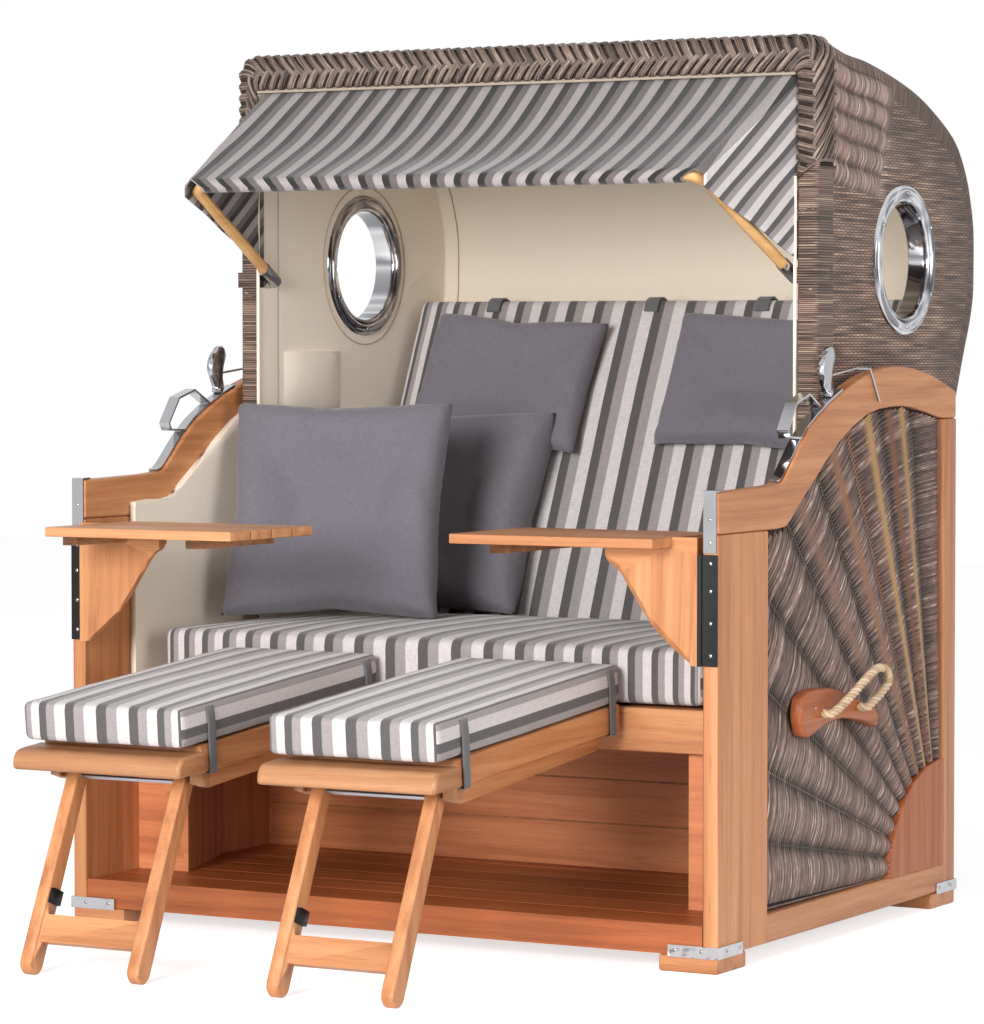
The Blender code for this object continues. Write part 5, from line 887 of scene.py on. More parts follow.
def buildRimBase():
    stations, section = rimStations(), rimSection()
    lengths = np.cumsum([0] + [(b[0] + b[1] - a[0] - a[1]).length / 2 for a, b in zip(stations, stations[1:])])
    points, weave = [], []
    for (outer, inner), run in zip(stations, lengths):
        post = abs(outer.x - inner.x) > rim["width"] * 0.9
        for i, (share, depth, _, _) in enumerate(section):
            spot = inner.lerp(outer, share)
            points.append(Vector((spot.x, depth, spot.y)) + shift)
            weave.append((spot.y if post else run, i * 0.01, 0))
    count = len(section)
    faces = []
    for r in range(len(stations) - 1):
        for c in range(count):
            a, b = r * count + c, r * count + (c + 1) % count
            faces.append((a, a + count, b + count, b))
    faces.append(tuple(range(count)))
    faces.append(tuple(range(len(points) - 1, len(points) - 1 - count, -1)))
    base = newPiece("rimWrap", points, faces)
    addField(base, "weave", weave)
    return weld(base)


rimWrap = dress(buildRimBase(), "hood_rim", wrapCane)
clothField(rimWrap)


def facesInward(centre, normal):
    if centre.z < rim["top"] - rim["topHeight"]:
        return -normal.x * math.copysign(1, centre.x) > 0.8
    return normal.z < -0.8


paint(rimWrap, wrapDark, lambda c, n: rim["darkBand"][0] < c.z < rim["darkBand"][1])
# painted shade under the braid
paint(rimWrap, panelBacking, lambda c, n: c.z > rim["braidLow"] + 0.012 and n.y < 0.5)
paint(rimWrap, creamCloth, facesInward)  # the lining is turned over the rim


def braidRuns():
    stations = rimStations()
    keep = [s for s in stations if (s[0].y + s[1].y) / 2 > rim["braidLow"]]
    lengths = np.cumsum([0] + [(b[0] + b[1] - a[0] - a[1]).length / 2 for a, b in zip(keep, keep[1:])])
    table = np.array([[*o, *n] for o, n in keep])
    section = rimSection(8)
    # from the inner front corner over the front to the outer side
    path = [p for p in section if p[3] < 0.5 and not (p[2] < -0.3 and p[3] > -0.3)]
    path = [(share, depth, a, b) for share, depth, a, b in path if depth < rim["front"] + 0.062]
    path.append((1.0, rim["front"] + 0.074, 1.0, 0.0))
    girths = np.cumsum([0] + [math.hypot((b[0] - a[0]) * rim["width"], b[1] - a[1]) for a, b in zip(path, path[1:])])
    girthTable = np.array(path)

    def spot(run, share, lift):
        run = min(max(run, 0), lengths[-1])
        ox, oz, ix, iz = (np.interp(run, lengths, table[:, k]) for k in range(4))
        g = share * girths[-1]
        s, depth, na, nb = (np.interp(g, girths, girthTable[:, k]) for k in range(4))
        reach = lift / (math.hypot(na, nb) or 1)
        out = Vector((ox - ix, oz - iz)).normalized() * na * reach
        return Vector((ix + (ox - ix) * s + out.x, depth + nb * reach, iz + (oz - iz) * s + out.y))

    def middleShare(run):
        # the braid's middle lies on the corner of the first post and on the front face elsewhere
        post = rim["top"] - rim["corner"] - rim["braidLow"]
        turns = (post * 0.7, post + 0.05, lengths[-1] - post - 0.05, lengths[-1] - post * 0.7)
        return float(np.interp(run, turns, rim["middles"]))

    runs = []
    count = int(lengths[-1] / rim["arm"]) + 8
    for k in range(-4, count):
        for side in (0, 1):
            start = k * rim["arm"] + side * rim["arm"] / 2
            centre = middleShare(start)
            outer = centre + rim["reach"] / girths[-1]
            for cane in range(rim["canes"]):
                middle = abs(cane - (rim["canes"] - 1) / 2) / (rim["canes"] / 2)
                line = []
                for i in range(13):
                    t = i / 12
                    share = (centre + 0.05) * t if side == 0 else outer + (centre - 0.05 - outer) * t
                    away = (centre - share if side == 0 else share - centre) * girths[-1]
                    rise = min(1, t * 5 + 0.15, (1 - t) * 3.0) ** 0.8 * (1 - 0.62 * middle ** 2)
                    line.append(spot(start + cane * rim["canePitch"] + rim["slant"] * away, share,
                                     rim["lift"] * rise - 0.0026))
                runs.append(line)
    return runs


braid = add(sweep("rimBraid", braidRuns(), rim["cane"], braidCane, 6, 0.25, 5), "hood")
piping = {"radius": 0.0034, "topRadius": 0.0026, "x": 0.5865, "y": 0.509, "low": 0.62, "high": 1.405, "top": 1.5935}
pipeRuns = [[(side * piping["x"], piping["y"], z) for z in np.linspace(piping["low"], piping["high"], 21)]
            for side in (1, -1)]
topRun = [(piping["x"] * (1 - i / 20), piping["y"], piping["top"]) for i in range(41)]
for name, runs, radius, finish in (("rimPiping", pipeRuns, piping["radius"], creamCloth),
                                   ("rimPipingTop", [topRun], piping["topRadius"], pipingCloth)):
    piece = sweep(name, runs, radius, finish, 8, 0.0)
    clothField(piece)
    add(piece, "hood", finish)
print("rim braided")

armLine = {"underside": 0.766, "rise": 0.214, "depth": 1.055,
           "lower": [(0.0, 0.0), (0.10, 0.0), (0.1925, 0.0), (0.262, 0.012), (0.298, 0.125), (0.378, 0.383),
                      (0.477, 0.69),
                     (0.60, 0.925), (0.71, 0.985), (0.80, 0.972), (0.90, 0.893), (0.945, 0.866), (1.0, 0.866)]}


def armUnderside():
    points = [(a * armLine["depth"], armLine["underside"] + u * armLine["rise"]) for a, u in armLine["lower"]]
    return np.array([list(p) for p in smoothLine(points, 4)])


def panelPoint(turn, reach, lift=0.0):
    # turn in degrees from the front, reach from the corner
    a = math.radians(turn)
    hub = sidePanel["hub"]
    pleat = abs(math.sin(math.pi * turn / sidePanel["fluteTurn"]))
    return (sidePanel["flat"] + sidePanel["fluteHeight"] * pleat + lift,
            hub[0] - reach * math.cos(a), hub[1] + reach * math.sin(a))


def insidePanel(point, reach, turn, arch, edge=0.0022):
    a = math.radians(turn)
    board = 1 / math.sqrt((math.cos(a) / sidePanel["board"][0]) ** 2 + (math.sin(a) / sidePanel["board"][1]) ** 2)
    top = np.interp(point[1], arch[:, 0], arch[:, 1])
    return (reach > board + edge and point[1] > sidePanel["opening"][0] + edge * 0.5 and point[2] < top - edge)


def panelRuns():
    arch = armUnderside()
    steps = 88
    runs = []
    ring, reach = 0, 0.207
    while reach < 1.10:
        run = []
        for i in range(steps + 1):
            turn = 90 * i / steps
            valley = math.cos(math.pi * turn / sidePanel["fluteTurn"]) ** 8
            lift = sidePanel["weave"] * valley * (1 if ring % 2 else -1)
            point = panelPoint(turn, reach, lift)
            if turn in (0, 90) or not insidePanel(point, reach, turn, arch):
                if len(run) > 1:
                    runs.append(run)
                run = []
                continue
            run.append(point)
        if len(run) > 1:
            runs.append(run)
        reach += sidePanel["pitch"]
        ring += 1
    return runs


def stakeRuns():
    arch = armUnderside()
    runs = []
    for flute in range(0, 11):
        turn = min(max(flute * sidePanel["fluteTurn"], 0.35), 89.65)
        run = []
        reach = 0.200
        while reach < 1.10:
            point = panelPoint(turn, reach)
            if insidePanel(point, reach, turn, arch):
                run.append((sidePanel["flat"] + 0.0008, point[1], point[2]))
            reach += 0.02
        if len(run) > 1:
            runs.append(run)
    return runs


wovenRuns, stakes = panelRuns(), stakeRuns()
for side, label in sides:
    canes = sweep("panelCanes_" + label, onSide(wovenRuns, side), sidePanel["radius"], panelCane, 6, 0.12, 7)
    add(canes, "base")
    uprights = sweep("panelStakes_" + label, onSide(stakes, side), 0.0026, braidCane, 8, 0.1, 9)
    add(uprights, "base")
    # the panel under the woven canes is painted shade
    dress(copyNode("side_wicker_" + label), "side_wicker_" + label, panelBacking)
print("side panels woven")

# rear panel: ribs between two rails
rear = copyNode("rear_panel", angle=50)
addField(rear, "weave", [(v.co.z, v.co.x, 0) for v in rear.data.vertices])
dress(rear, "rear_panel", rearCane)

def boxCushion(name, pad, matrix, node, seed, seam=0.0022):
    # a boxed foam cushion: crowned faces, soft edges, a raised seam along them
    w, l, t = (s / 2 for s in pad["size"])
    cells, corner, crown, wrinkle = (pad[key] for key in ("cells", "corner", "crown", "wrinkle"))
    points, faces, cloth = [], [], []
    for axis, sign in ((2, 1), (2, -1), (1, 1), (1, -1), (0, 1), (0, -1)):
        others = [k for k in range(3) if k != axis]
        counts = [cells[k] for k in others]
        start = len(points)
        for i in range(counts[0] + 1):
            for j in range(counts[1] + 1):
                p = [0, 0, 0]
                p[axis] = sign
                p[others[0]] = 2 * i / counts[0] - 1
                p[others[1]] = 2 * j / counts[1] - 1
                points.append(p)
                x, y, z = p[0] * w, p[1] * l, p[2] * t
                if axis == 0:
                    cloth.append((sign * w + sign * (t - z), y, 0))
                elif axis == 1:
                    cloth.append((x, y - sign * (z - t), 0))
                else:
                    cloth.append((x, y, 0))
        quads = gridFaces(counts[0] + 1, counts[1] + 1, flip=(sign > 0) == (axis == 1))
        faces += [tuple(start + v for v in q) for q in quads]
    half = np.array((w, l, t))
    unit = np.array(points, float)
    # cells crowd towards the edges
    bent = np.sign(unit) * (1 - (1 - np.abs(unit)) ** 1.35)
    p = bent * half
    core = np.clip(p, -(half - corner), half - corner)
    away = p - core
    edgeAway = np.linalg.norm(away, axis=1)
    out = np.where(edgeAway[:, None] > 1e-9, away / np.maximum(edgeAway, 1e-9)[:, None], 0)
    solid = core + out * corner
    ridge = np.exp(-((np.abs(out).max(1) - 0.7071) / 0.10) ** 2) * (edgeAway > 1e-9)
    solid += out * (ridge * seam * 0.35)[:, None]
    u, v = bent[:, 0], bent[:, 1]
    swell = (1 - np.abs(u) ** 3.2) * (1 - np.abs(v) ** 3.2)
    solid[:, 2] += np.sign(bent[:, 2]) * crown * (swell - 0.5) * (np.abs(bent[:, 2]) > 0.5)
    for k, q in enumerate(solid):
        n = noise.noise(Vector((q[0] * 7 + seed, q[1] * 7, q[2] * 9)))
        m = noise.noise(Vector((q[0] * 19 + seed, q[1] * 19, q[2] * 19)))
        if edgeAway[k] > 1e-9:
            solid[k] = q + out[k] * wrinkle * (n + 0.5 * m)
        else:
            solid[k, 2] += np.sign(bent[k, 2]) * wrinkle * (n * 1.6 + 0.4 * m)
    world = [matrix @ Vector(q) for q in solid]
    cushion = newPiece(name, [p + shift for p in world], faces)
    addField(cushion, "cloth", np.array(cloth)[[l.vertex_index for l in cushion.data.loops]])
    weld(cushion, 0.00002)
    dress(cushion, node, stripedCloth)


lean = math.radians(24.6)
tilt = math.radians(4.7)


def leaningFrame(start, second, third):
    turn = Matrix((Vector((1, 0, 0)), second, third)).transposed().to_4x4()
    return Matrix.Translation(start) @ turn


def backrestFrame(rise, standoff):
    upward = Vector((0, math.sin(lean), math.cos(lean)))
    outward = Vector((0, -math.cos(lean), math.sin(lean)))
    return leaningFrame(Vector((0, 0.833, 0.565)) + upward * rise + outward * standoff, upward, outward)


def footrestFrame(centre):
    forward = Vector((0, -math.cos(tilt), -math.sin(tilt)))
    return leaningFrame((centre, 0.1442, 0.403), forward, Vector((0, -math.sin(tilt), math.cos(tilt))))


seatPad = {"size": (1.146, 0.640, 0.111), "cells": (90, 56, 14), "corner": 0.017, "crown": 0.010,
           "wrinkle": 0.0012, "centre": (0, 0.4714, 0.5013)}
backPad = {"size": (1.144, 0.758, 0.084), "cells": (90, 64, 12), "corner": 0.018, "crown": 0.010,
           "wrinkle": 0.0016, "rise": 0.310}
footPad = {"size": (0.332, 0.659, 0.0735), "cells": (40, 70, 14), "corner": 0.012, "crown": 0.005,
           "wrinkle": 0.0012, "centre": 0.253, "place": (0, 0.330, 0.0873)}
boxCushion("seatPad", seatPad, Matrix.Translation(seatPad["centre"]), "seat_cushion", 1.0)
boxCushion("backPad", backPad, backrestFrame(backPad["rise"], -0.0425), "back_cushion", 2.0)
for side, label in sides[::-1]:
    matrix = footrestFrame(side * footPad["centre"]) @ Matrix.Translation(footPad["place"])
    boxCushion("footPad_" + label, footPad, matrix, "footrest_cushion_" + label, 3.0 + side)

strap = {"outer": 0.1690, "thick": 0.0020, "rise": 0.094, "end": 0.020, "under": -0.0022, "ease": 0.0006,
         "starts": (0.560, 0.030), "width": 0.022}


def buildStrap(name, matrix, start):
    # webbing under the frame and up both sides, its ends sewn to the cushion
    outer, ease = strap["outer"], strap["ease"]
    line = [(outer, strap["under"]), (outer + ease, 0.0), (outer + ease, strap["rise"]),
            (footPad["size"][0] / 2 + ease, strap["rise"] + strap["end"])]
    line = [(-x, z) for x, z in line[::-1]] + line
    points = []
    for x, z in line:
        for k in range(5):
            points.append(matrix @ Vector((x, start + strap["width"] * k / 4, z)) + shift)
    web = newPiece(name, points, gridFaces(len(line), 5))
    web.data.set_sharp_from_angle(angle=math.radians(40))
    addField(web, "cloth", [(p.x, p.y, 0) for p in points])
    return thicken(web, strap["thick"])


for side, label in sides[::-1]:
    for number, start in enumerate(strap["starts"]):
        web = buildStrap("strap_%s_%d" % (label, number), footrestFrame(side * footPad["centre"]), start)
        add(web, "footrest_" + label, strapWeb)
print("boxed cushions sewn")


def flatEnvelope(name, width, height, across, upward):
    # two cloth faces sewn at their edges
    points, faces = [], []
    for side in (1, -1):
        for r in range(upward + 1):
            for c in range(across + 1):
                u, v = 2 * c / across - 1, 2 * r / upward - 1
                inner = (1 - u * u) * (1 - v * v)
                points.append((u * width / 2, v * height / 2, side * (0.0008 + 0.010 * inner)))
    count = (across + 1) * (upward + 1)
    faces += gridFaces(upward + 1, across + 1)
    faces += [tuple(count + i for i in f) for f in gridFaces(upward + 1, across + 1, flip=True)]
    obj = newPiece(name, points, faces)
    shape = bmesh.new()
    shape.from_mesh(obj.data)
    hem = [v for v in shape.verts if abs(abs(v.co.x) - width / 2) < 1e-6 or abs(abs(v.co.y) - height / 2) < 1e-6]
    bmesh.ops.remove_doubles(shape, verts=hem, dist=0.0025)
    bmesh.ops.recalc_face_normals(shape, faces=shape.faces[:])
    shape.to_mesh(obj.data)
    shape.free()
    return obj


blowing = {"quality": 6, "mass": 0.25, "tension_stiffness": 28, "compression_stiffness": 28, "shear_stiffness": 12,
           "bending_stiffness": 0.4, "use_pressure": True, "uniform_pressure_force": 5.0}
blowingSteps = 27
held = {"flat": 0.86, "plump": 0.55, "waist": 0.035}


def stuffed(name, width, height, thick, cells):
    obj = flatEnvelope(name, width, height, *cells)
    scene = bpy.context.scene
    scene.frame_set(1)
    flat = np.array([v.co for v in obj.data.vertices], float)
    settings = obj.modifiers.new("cloth", "CLOTH").settings
    for label, value in blowing.items():
        setattr(settings, label, value)
    settings.effector_weights.gravity = 0
    for step in range(1, blowingSteps):
        scene.frame_set(step)
    bake(obj)
    scene.frame_set(1)
    # the filling holds the corners out: most of the outline is the cut cloth's
    blown = np.array([v.co for v in obj.data.vertices], float)
    u, w = flat[:, 0] * 2 / width, flat[:, 1] * 2 / height
    plump = np.sign(flat[:, 2]) * np.maximum((1 - u ** 4) * (1 - w ** 4), 0) ** 0.5
    cut = flat[:, :2] * (1 - held["waist"] * (1 - np.stack([w, u], 1) ** 2))
    blown[:, :2] = cut * held["flat"] + blown[:, :2] * (1 - held["flat"])
    plump *= np.abs(blown[:, 2]).max()
    blown[:, 2] = held["plump"] * plump + (1 - held["plump"]) * blown[:, 2]
    obj.data.vertices.foreach_set("co", blown.astype(np.float32).ravel())
    co = np.array([v.co for v in obj.data.vertices], float)
    low, high = co.min(0), co.max(0)
    co = (co - (low + high) / 2) * (np.array((width, height, thick)) / (high - low))
    obj.data.vertices.foreach_set("co", co.astype(np.float32).ravel())
    obj.data.update()
    return obj


def softCushion(name, source, matrix, node, seed, flip=False, crease=0.0026):
    points = []
    for v in source.data.vertices:
        p = v.co.copy()
        if flip:
            p.x, p.y = -p.x, -p.y
        n = noise.noise(Vector((p.x * 9 + seed, p.y * 9, seed)))
        p.z += crease * n * (1 if p.z > 0 else -1)
        points.append(matrix @ p + shift)
    faces = [tuple(f.vertices) for f in source.data.polygons]
    obj = newPiece(name, points, faces)
    cloth = [(v.co.x, v.co.y, 0) for v in source.data.vertices]
    addField(obj, "cloth", np.array(cloth)[[l.vertex_index for l in obj.data.loops]])
    dress(obj, node, greyCloth)


def nodeCentre(name):
    low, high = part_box(name)
    return (low + high) / 2 - shift


throwPads = {"size": 0.436, "thick": 0.126, "turns": {"front": (17, 17), "back": (24.5, 0)}}
headPads = {"size": (0.402, 0.288), "thick": 0.074, "turns": {"left": -4, "right": -3}, "drop": (-0.047, -0.034)}
bigSource = stuffed("throwSource", throwPads["size"], throwPads["size"], throwPads["thick"], (64, 64))
smallSource = stuffed("headSource", *headPads["size"], headPads["thick"], (60, 42))
for label, (leanBack, swing) in throwPads["turns"].items():
    turn = (Matrix.Rotation(math.radians(swing), 4, "Z")
            @ Matrix.Rotation(math.pi / 2 - math.radians(leanBack), 4, "X"))
    softCushion("throwPad_" + label, bigSource, Matrix.Translation(nodeCentre("throw_cushion_" + label)) @ turn,
                "throw_cushion_" + label, 4.0 if label == "front" else 9.0, label == "back")
for label, swing in headPads["turns"].items():
    turn = backrestFrame(0, 0).to_3x3().to_4x4() @ Matrix.Rotation(math.radians(swing), 4, "Z")
    turn = turn @ Matrix.Translation((*headPads["drop"], 0))
    softCushion("headPad_" + label, smallSource, Matrix.Translation(nodeCentre("head_cushion_" + label)) @ turn,
                "head_cushion_" + label, 12.0 if label == "left" else 15.0, label == "right")
for source in (bigSource, smallSource):
    bpy.data.objects.remove(source)
print("throw and head cushions stuffed")

window = {"place": (0.921, 1.257), "bore": 0.112, "flange": 0.1455, "tube": 0.004, "rise": 0.009, "outside": 0.6253,
          "inside": 0.5884, "segments": 96, "screws": 6, "screwRadius": 0.130,
          "shape": [(0.0, 0.10), (0.03, 0.34), (0.10, 0.50), (0.18, 0.55), (0.22, 0.38), (0.26, 0.62),
                    (0.32, 0.88), (0.42, 1.0),
                    (0.56, 0.98), (0.68, 0.86), (0.73, 0.58), (0.78, 0.74), (0.88, 0.66), (0.96, 0.40), (1.0, 0.0)],
          # tones: painted reflections on the window rings
          "tones": [(0.34, (0.10, 0.10, 0.11)), (0.46, (0.34, 0.34, 0.36)), (0.56, (0.66, 0.66, 0.68)),
                    (0.64, (0.24, 0.24, 0.26))]}


def ringPoint(radius, share):
    # y and z of a point on a ring round the window
    a = 2 * math.pi * share
    return window["place"][0] + radius * math.cos(a), window["place"][1] + radius * math.sin(a)


def buildWindow(side):
    width = window["flange"] - window["bore"]
    rise, tube = window["rise"], window["bore"] + window["tube"]
    section = [(window["bore"] + width * a, window["outside"] + rise * u) for a, u in window["shape"]]
    section += [(tube, window["outside"]), (tube, window["inside"])]
    section += [(window["bore"] + width * a, window["inside"] - rise * u) for a, u in window["shape"][::-1]]
    points, faces = [], []
    count, turns = len(section), window["segments"]
    for i in range(turns):
        points += [Vector((side * x, *ringPoint(r, i / turns))) + shift for r, x in section]
        a, b = i * count, (i + 1) % turns * count
        faces += [(a + c, a + (c + 1) % count, b + (c + 1) % count, b + c) for c in range(count)]
    ring = weld(newPiece("windowRing_" + ("right" if side > 0 else "left"), points, faces))
    ring.data.set_sharp_from_angle(angle=math.radians(50))
    return ring


def turnedSteel():
    # dark and bright sectors that slide from ring to ring: painted reflections in the steel's colour
    material, tree, shader = newMaterial("turnedSteel", 0.10, 1.0)
    _, y, z = split(ownPlace(tree))
    y, z = y - (window["place"][0] + shift.y), z - window["place"][1]
    reach = (y * y + z * z).step("SQRT")
    reflectionSectors = cloud(joined(tree, X=y / reach * 1.6, Y=z / reach * 1.6, Z=reach * 70.0))
    wire(ramp(reflectionSectors, window["tones"]), shader["Base Color"])
    return material


ringReflectionSteel = turnedSteel()
for side, label in sides:
    dress(buildWindow(side), "porthole_" + label, ringReflectionSteel)
    spots = []
    for i in range(window["screws"]):
        spot = ringPoint(window["screwRadius"], (i + 0.5) / window["screws"])
        spots.append(((side * (window["outside"] + window["rise"]), *spot), (side, 0, 0)))
        spots.append(((side * (window["inside"] - window["rise"]), *spot), (-side, 0, 0)))
    screws("windowScrews_" + label, spots, 0.0042, "hood")
print("window rings turned")


def onLining(start, way):
    # the point where a line meets the lining, in chair axes
    hit, spot, _, _ = bpy.data.objects["hood_lining_dressed"].ray_cast(Vector(start) + shift, Vector(way))
    return spot - shift if hit else None


seam = {"ring": 0.163, "corner": 0.556, "heights": (0.98, 1.50), "radius": 0.0017}
for side, label in sides:
    ringRun = [onLining((side * 0.3, *ringPoint(seam["ring"], i / 96)), (side, 0, 0)) for i in range(97)]
    cornerRun = [onLining((side * seam["corner"], 0.62, z), (0, 1, 0)) for z in np.linspace(*seam["heights"], 41)]
    runs = [[p for p in run if p] for run in (ringRun, cornerRun)]
    seams = sweep("liningSeams_" + label, runs, seam["radius"], seamThread, 6, 0.3)
    clothField(seams)
    add(seams, "hood")

tab = {"places": (-0.385, -0.015, 0.235), "width": 0.030, "thick": 0.004,
       "line": [(-0.034, 0.0040), (-0.014, 0.0035), (-0.002, -0.004), (0.004, -0.016), (0.004, -0.034)]}
for number, x in enumerate(tab["places"]):
    frameTurn = backrestFrame(backPad["rise"], 0)
    line = smoothLine([(backPad["size"][1] / 2 + a, b, 0) for a, b in tab["line"]], 4)
    points = [frameTurn @ Vector((x + tab["width"] * (k / 6 - 0.5), p.x, p.y)) + shift
              for p in line for k in range(7)]
    flap = newPiece("cushionTab_%d" % number, points, gridFaces(len(line), 7))
    addField(flap, "cloth", [(q.x, q.z, 0) for q in points])
    add(thicken(flap, tab["thick"]), "hood", strapWeb)
print("seams and tabs sewn")

awning = {"pivot": (0.5696, 0.540, 1.222), "front": (0.540, 0.205, 1.398), "bow": 0.011, "cloth": 0.0025,
          "rear": 0.530,
          "rearTop": 1.5967, "sag": 0.026, "sideLow": 0.026, "cheekFront": 0.034,
          "corner": 0.012, "clearance": 0.0009,
          "rearHalf": 0.5887, "rows": 34, "columns": 112, "cheekSteps": 14,
          "sleeveSteps": 16, "sleeveTurn": 292, "ripple": 0.004}


def sleeveStart():
    away = Vector((awning["rear"] - awning["front"][1], awning["rearTop"] - awning["front"][2]))
    radius = awning["bow"] + awning["clearance"] + awning["cloth"]
    return math.atan2(away.y, away.x) + math.acos(radius / away.length), radius


def buildAwning():
    angle, radius = sleeveStart()
    front = Vector(awning["front"])
    frontHalf = front.x + awning["bow"] + awning["cloth"] + 0.0003
    rearTop = Vector((0, awning["rear"], awning["rearTop"]))
    frontTop = Vector((0, front.y + radius * math.cos(angle), front.z + radius * math.sin(angle)))
    rearLow = Vector((0, awning["rear"], awning["pivot"][2] + awning["sideLow"]))
    frontLow = frontTop - Vector((0, 0, awning["cheekFront"]))
    rows, cloth = [], []
    for r in range(awning["rows"] + 1):
        share = r / awning["rows"]
        top, low = rearTop.lerp(frontTop, share), rearLow.lerp(frontLow, share)
        half = awning["rearHalf"] + (frontHalf - awning["rearHalf"]) * share
        shoulder = top - Vector((0, 0, awning["corner"]))
        line, marks = [], []
        run = share * (frontTop - rearTop).length
        tension = math.sin(math.pi * share)
        for i in range(awning["cheekSteps"] + 1):
            q = low.lerp(shoulder, i / awning["cheekSteps"])
            drop = (shoulder - q).length
            flutter = 0.0030 * math.sin(drop * 46 + share * 5) * tension * min(1, drop * 12)
            line.append(Vector((-half + flutter, q.y, q.z)))
            marks.append((-half - drop, run, 0))
        for c in range(awning["columns"] + 1):
            u = c / awning["columns"]
            sag = awning["sag"] * tension * math.sin(math.pi * u) ** 0.5
            wave = awning["ripple"] * math.sin(3 * math.pi * u) * tension
            wave += 0.0034 * noise.noise(Vector((u * 15 + share * 2, share * 3, 2))) * tension
            x = (half - awning["corner"]) * (2 * u - 1)
            line.append(Vector((x, top.y, top.z - sag + wave)))
            marks.append((x, run, 0))
        line += [Vector((-p.x, p.y, p.z)) for p in line[:awning["cheekSteps"] + 1]][::-1]
        marks += [(-a, b, 0) for a, b, _ in marks[:awning["cheekSteps"] + 1]][::-1]
        rows.append(line)
        cloth.append(marks)
    count = len(rows[0])
    points = [p for line in rows for p in line]
    marks = [m for line in cloth for m in line]
    faces = gridFaces(len(rows), count)
    first, last = awning["cheekSteps"] + 1, count - awning["cheekSteps"] - 1
    edge = list(range((len(rows) - 1) * count + first, (len(rows) - 1) * count + last))
    narrow = (front.x - awning["bow"] * 2.6) / abs(points[edge[-1]].x)
    run = (frontTop - rearTop).length
    before = edge
    turnEnd = math.radians(awning["sleeveTurn"])
    for step in range(1, awning["sleeveSteps"] + 1):
        a = angle + (turnEnd - angle) * step / awning["sleeveSteps"]
        squeeze = 1 + (narrow - 1) * min(1, step * 2 / awning["sleeveSteps"])
        now = []
        for i in edge:
            now.append(len(points))
            points.append(Vector((points[i].x * squeeze, front.y + radius * math.cos(a),
                                  front.z + radius * math.sin(a))))
            marks.append((points[i].x, run + radius * (a - angle), 0))
        for i in range(len(edge) - 1):
            faces.append((before[i], before[i + 1], now[i + 1], now[i]))
        before = now
    sheet = newPiece("awningSheet", [p + shift for p in points], faces)
    if sheet.data.polygons[awning["cheekSteps"] + awning["columns"] // 2].normal.z < 0:
        sheet.data.flip_normals()
    area = sum(f.area for f in sheet.data.polygons)
    addField(sheet, "cloth", marks)
    return thicken(sheet, awning["cloth"], -1, True), area


awningSheet, awningArea = buildAwning()
# the awning gets the shaded copy of the striped cloth
awningSheet.data.materials.clear()
awningSheet.data.materials.append(awningCloth)
paint(awningSheet, cheekCloth,  # the cheeks' outer sides get a lit copy of the cloth: painted light
      lambda c, n: n.x * math.copysign(1, c.x) > 0.75 and c.z < awning["rearTop"] - 0.02)
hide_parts("awning_fabric")
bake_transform(awningSheet)
print("awning cut, area", round(awningArea, 3))

handle = {"front": 0.298, "length": 0.346, "bottom": 0.380, "height": 0.092, "inner": 0.6753, "thickness": 0.024,
          "rope": 0.0084, "standoff": 0.021, "lay": 0.036,
          "loop": [(0.28, 0.50), (0.36, 0.60), (0.50, 0.82), (0.64, 1.06), (0.80, 1.26),
                   (0.92, 1.20), (0.955, 0.96), (0.87, 0.74), (0.79, 0.60), (0.735, 0.50)],
          "lift": [0.0, 0.25, 0.5, 0.7, 0.75, 0.75, 0.7, 0.5, 0.25, 0.0]}


def handlePoint(pair):
    return handle["front"] + pair[0] * handle["length"], handle["bottom"] + pair[1] * handle["height"]


def ropeRoute():
    face = handle["inner"] + handle["thickness"]
    first, last = handlePoint(handle["loop"][0]), handlePoint(handle["loop"][-1])
    start = handle["inner"] + handle["thickness"] * 0.35 + 0.0003
    route = [(start, *first), (face, *first), (face + handle["rope"] * 2, *first)]
    for pair, lift in zip(handle["loop"][1:-1], handle["lift"][1:-1]):
        route.append((face + handle["rope"] * 2 + (handle["standoff"] - handle["rope"]) * lift, *handlePoint(pair)))
    route += [(face + handle["rope"] * 2, *last), (face, *last), (start, *last)]
    return evenLine(smoothLine(route, 6), 0.003)


def twisted(route, strands, offset, lay):
    # strands wound round the route
    runs = [[] for _ in range(strands)]
    way = (route[1] - route[0]).normalized()
    across = way.orthogonal().normalized()
    run = 0
    for i, here in enumerate(route):
        if i:
            run += (here - route[i - 1]).length
            now = (route[min(i + 1, len(route) - 1)] - route[i - 1]).normalized()
            across = (across - now * across.dot(now)).normalized()
            way = now
        up = way.cross(across)
        for k in range(strands):
            a = 2 * math.pi * (run / lay + k / strands)
            runs[k].append(here + (across * math.cos(a) + up * math.sin(a)) * offset)
    return runs


ropeLine = ropeRoute()
ropeLength = float(runLengths(ropeLine)[-1])
for side, label in sides:
    runs = onSide(twisted(ropeLine, 3, handle["rope"] * 0.50, handle["lay"]), side)
    rope = sweep("ropeLoop_" + label, runs, handle["rope"] * 0.52, ropeFibre, 10, 0.05, 11)
    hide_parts("rope_loop_" + label)
    add(rope, "base")
    route = [Vector((side * p.x, p.y, p.z)) + shift for p in ropeLine]
print("ropes laid, length", round(ropeLength, 3))

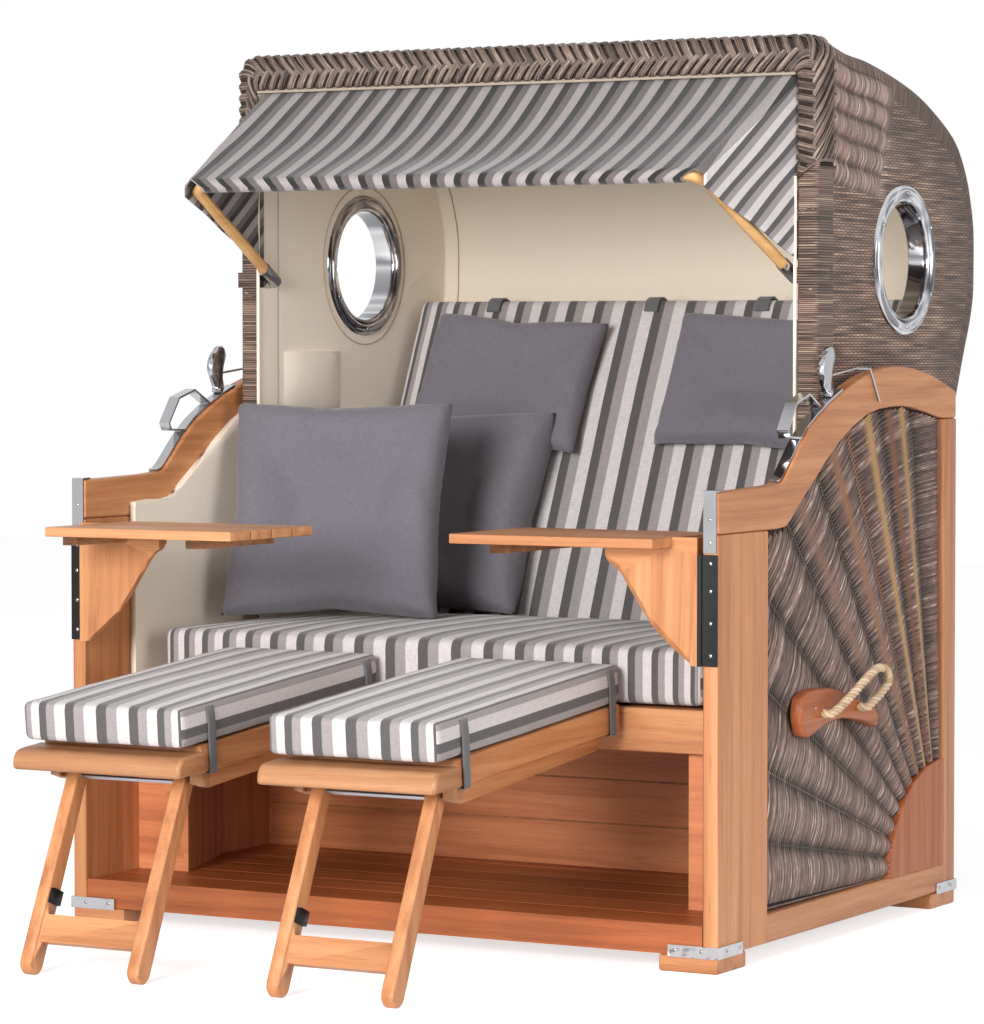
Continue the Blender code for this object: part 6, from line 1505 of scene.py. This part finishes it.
hingeScrews = [0.556, 0.612, 0.668, 0.716]
for side, label in sides:
    for name, x, y, heights, radius, body in (
            ("postHingeScrews_", 0.6665, -0.0033, hingeScrews, 0.0034, "base"),
            ("tableHingeScrews_", 0.634, -0.0035, hingeScrews, 0.0028, "table_" + label),
            ("strapScrews_", 0.665, -0.0033, (0.752, 0.792), 0.0030, "base")):
        screws(name + label, [((side * x, y, z), (0, -1, 0)) for z in heights], radius, body)
    screws("handleScrews_" + label, [((side * 0.6993, *handlePoint((0.19, 0.62))), (side, 0, 0))], 0.0030, "base",
           steelDull)
footSpots = []
for name in feet:
    low, high = (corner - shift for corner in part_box(name))
    side, end = math.copysign(1, low.x), (-1 if "front" in name else 1)
    z = (footPlate["low"] + high.z) / 2
    for share in footPlate["shares"]:
        footSpots.append(((low.x + (high.x - low.x) * share, low.y if end < 0 else high.y, z), (0, end, 0)))
        footSpots.append(((high.x if side > 0 else low.x, low.y + (high.y - low.y) * share, z), (side, 0, 0)))
screws("footScrews", footSpots, 0.0036, "base", steelDull)
print("fasteners set")

def seenDirectly(tree):
    # 1 for rays from the camera, off a mirror or through glass
    camera, glossy, through = (place(tree, "ShaderNodeLightPath", label)
                               for label in ("Is Camera Ray", "Is Glossy Ray", "Is Transmission Ray"))
    return camera.step("MAXIMUM", glossy.step("MAXIMUM", through))


floorMaterial, floorTree, floorShader = newMaterial("paleFloor", 0.9, specular=0.0, Base_Color=(0.86, 0.86, 0.86, 1),
                                                    Emission_Color=(1, 1, 1, 1))
wire(seenDirectly(floorTree) * 0.66, floorShader["Emission Strength"])
floor = newPiece("floor", [(-12, -12, 0), (12, -12, 0), (12, 12, 0), (-12, 12, 0)], [(0, 1, 2, 3)], False)
floor.data.materials.append(floorMaterial)

world = bpy.data.worlds.new("studio")
bpy.context.scene.world = world
world.use_nodes = True
back = world.node_tree.nodes["Background"].inputs
back["Color"].default_value = (1, 1, 1, 1)
wire(seenDirectly(world.node_tree) * 0.64 + 0.36, back["Strength"])


def lamp(name, spot, target, size, power):
    data = bpy.data.lights.new(name, "AREA")
    data.shape, data.size, data.energy = "DISK", size, power
    obj = newObject(name, data)
    obj.location = spot
    obj.rotation_euler = (Vector(target) - Vector(spot)).to_track_quat("-Z", "Y").to_euler()


lamp("keyLamp", (0.5, -6.4, 1.95), (0, 0.2, 0.95), 2.4, 430)
lamp("fillLamp", (5.2, -2.2, 1.6), (0, 0, 0.8), 3.0, 130)

viewFrom = {"place": (3.7748, -6.3191, 1.102), "turn": (87.5861, 0, 29.2824), "lens": 143.01}
cameraData = bpy.data.cameras.new("photoCamera")
cameraData.sensor_fit, cameraData.sensor_width, cameraData.sensor_height = "AUTO", 36, 36
cameraData.lens = viewFrom["lens"]
cameraData.clip_end = 100
camera = newObject("photoCamera", cameraData)
camera.location = Vector(viewFrom["place"]) + shift
camera.rotation_euler = [math.radians(a) for a in viewFrom["turn"]]
bpy.context.scene.camera = camera
bpy.context.scene.view_settings.view_transform = "Standard"
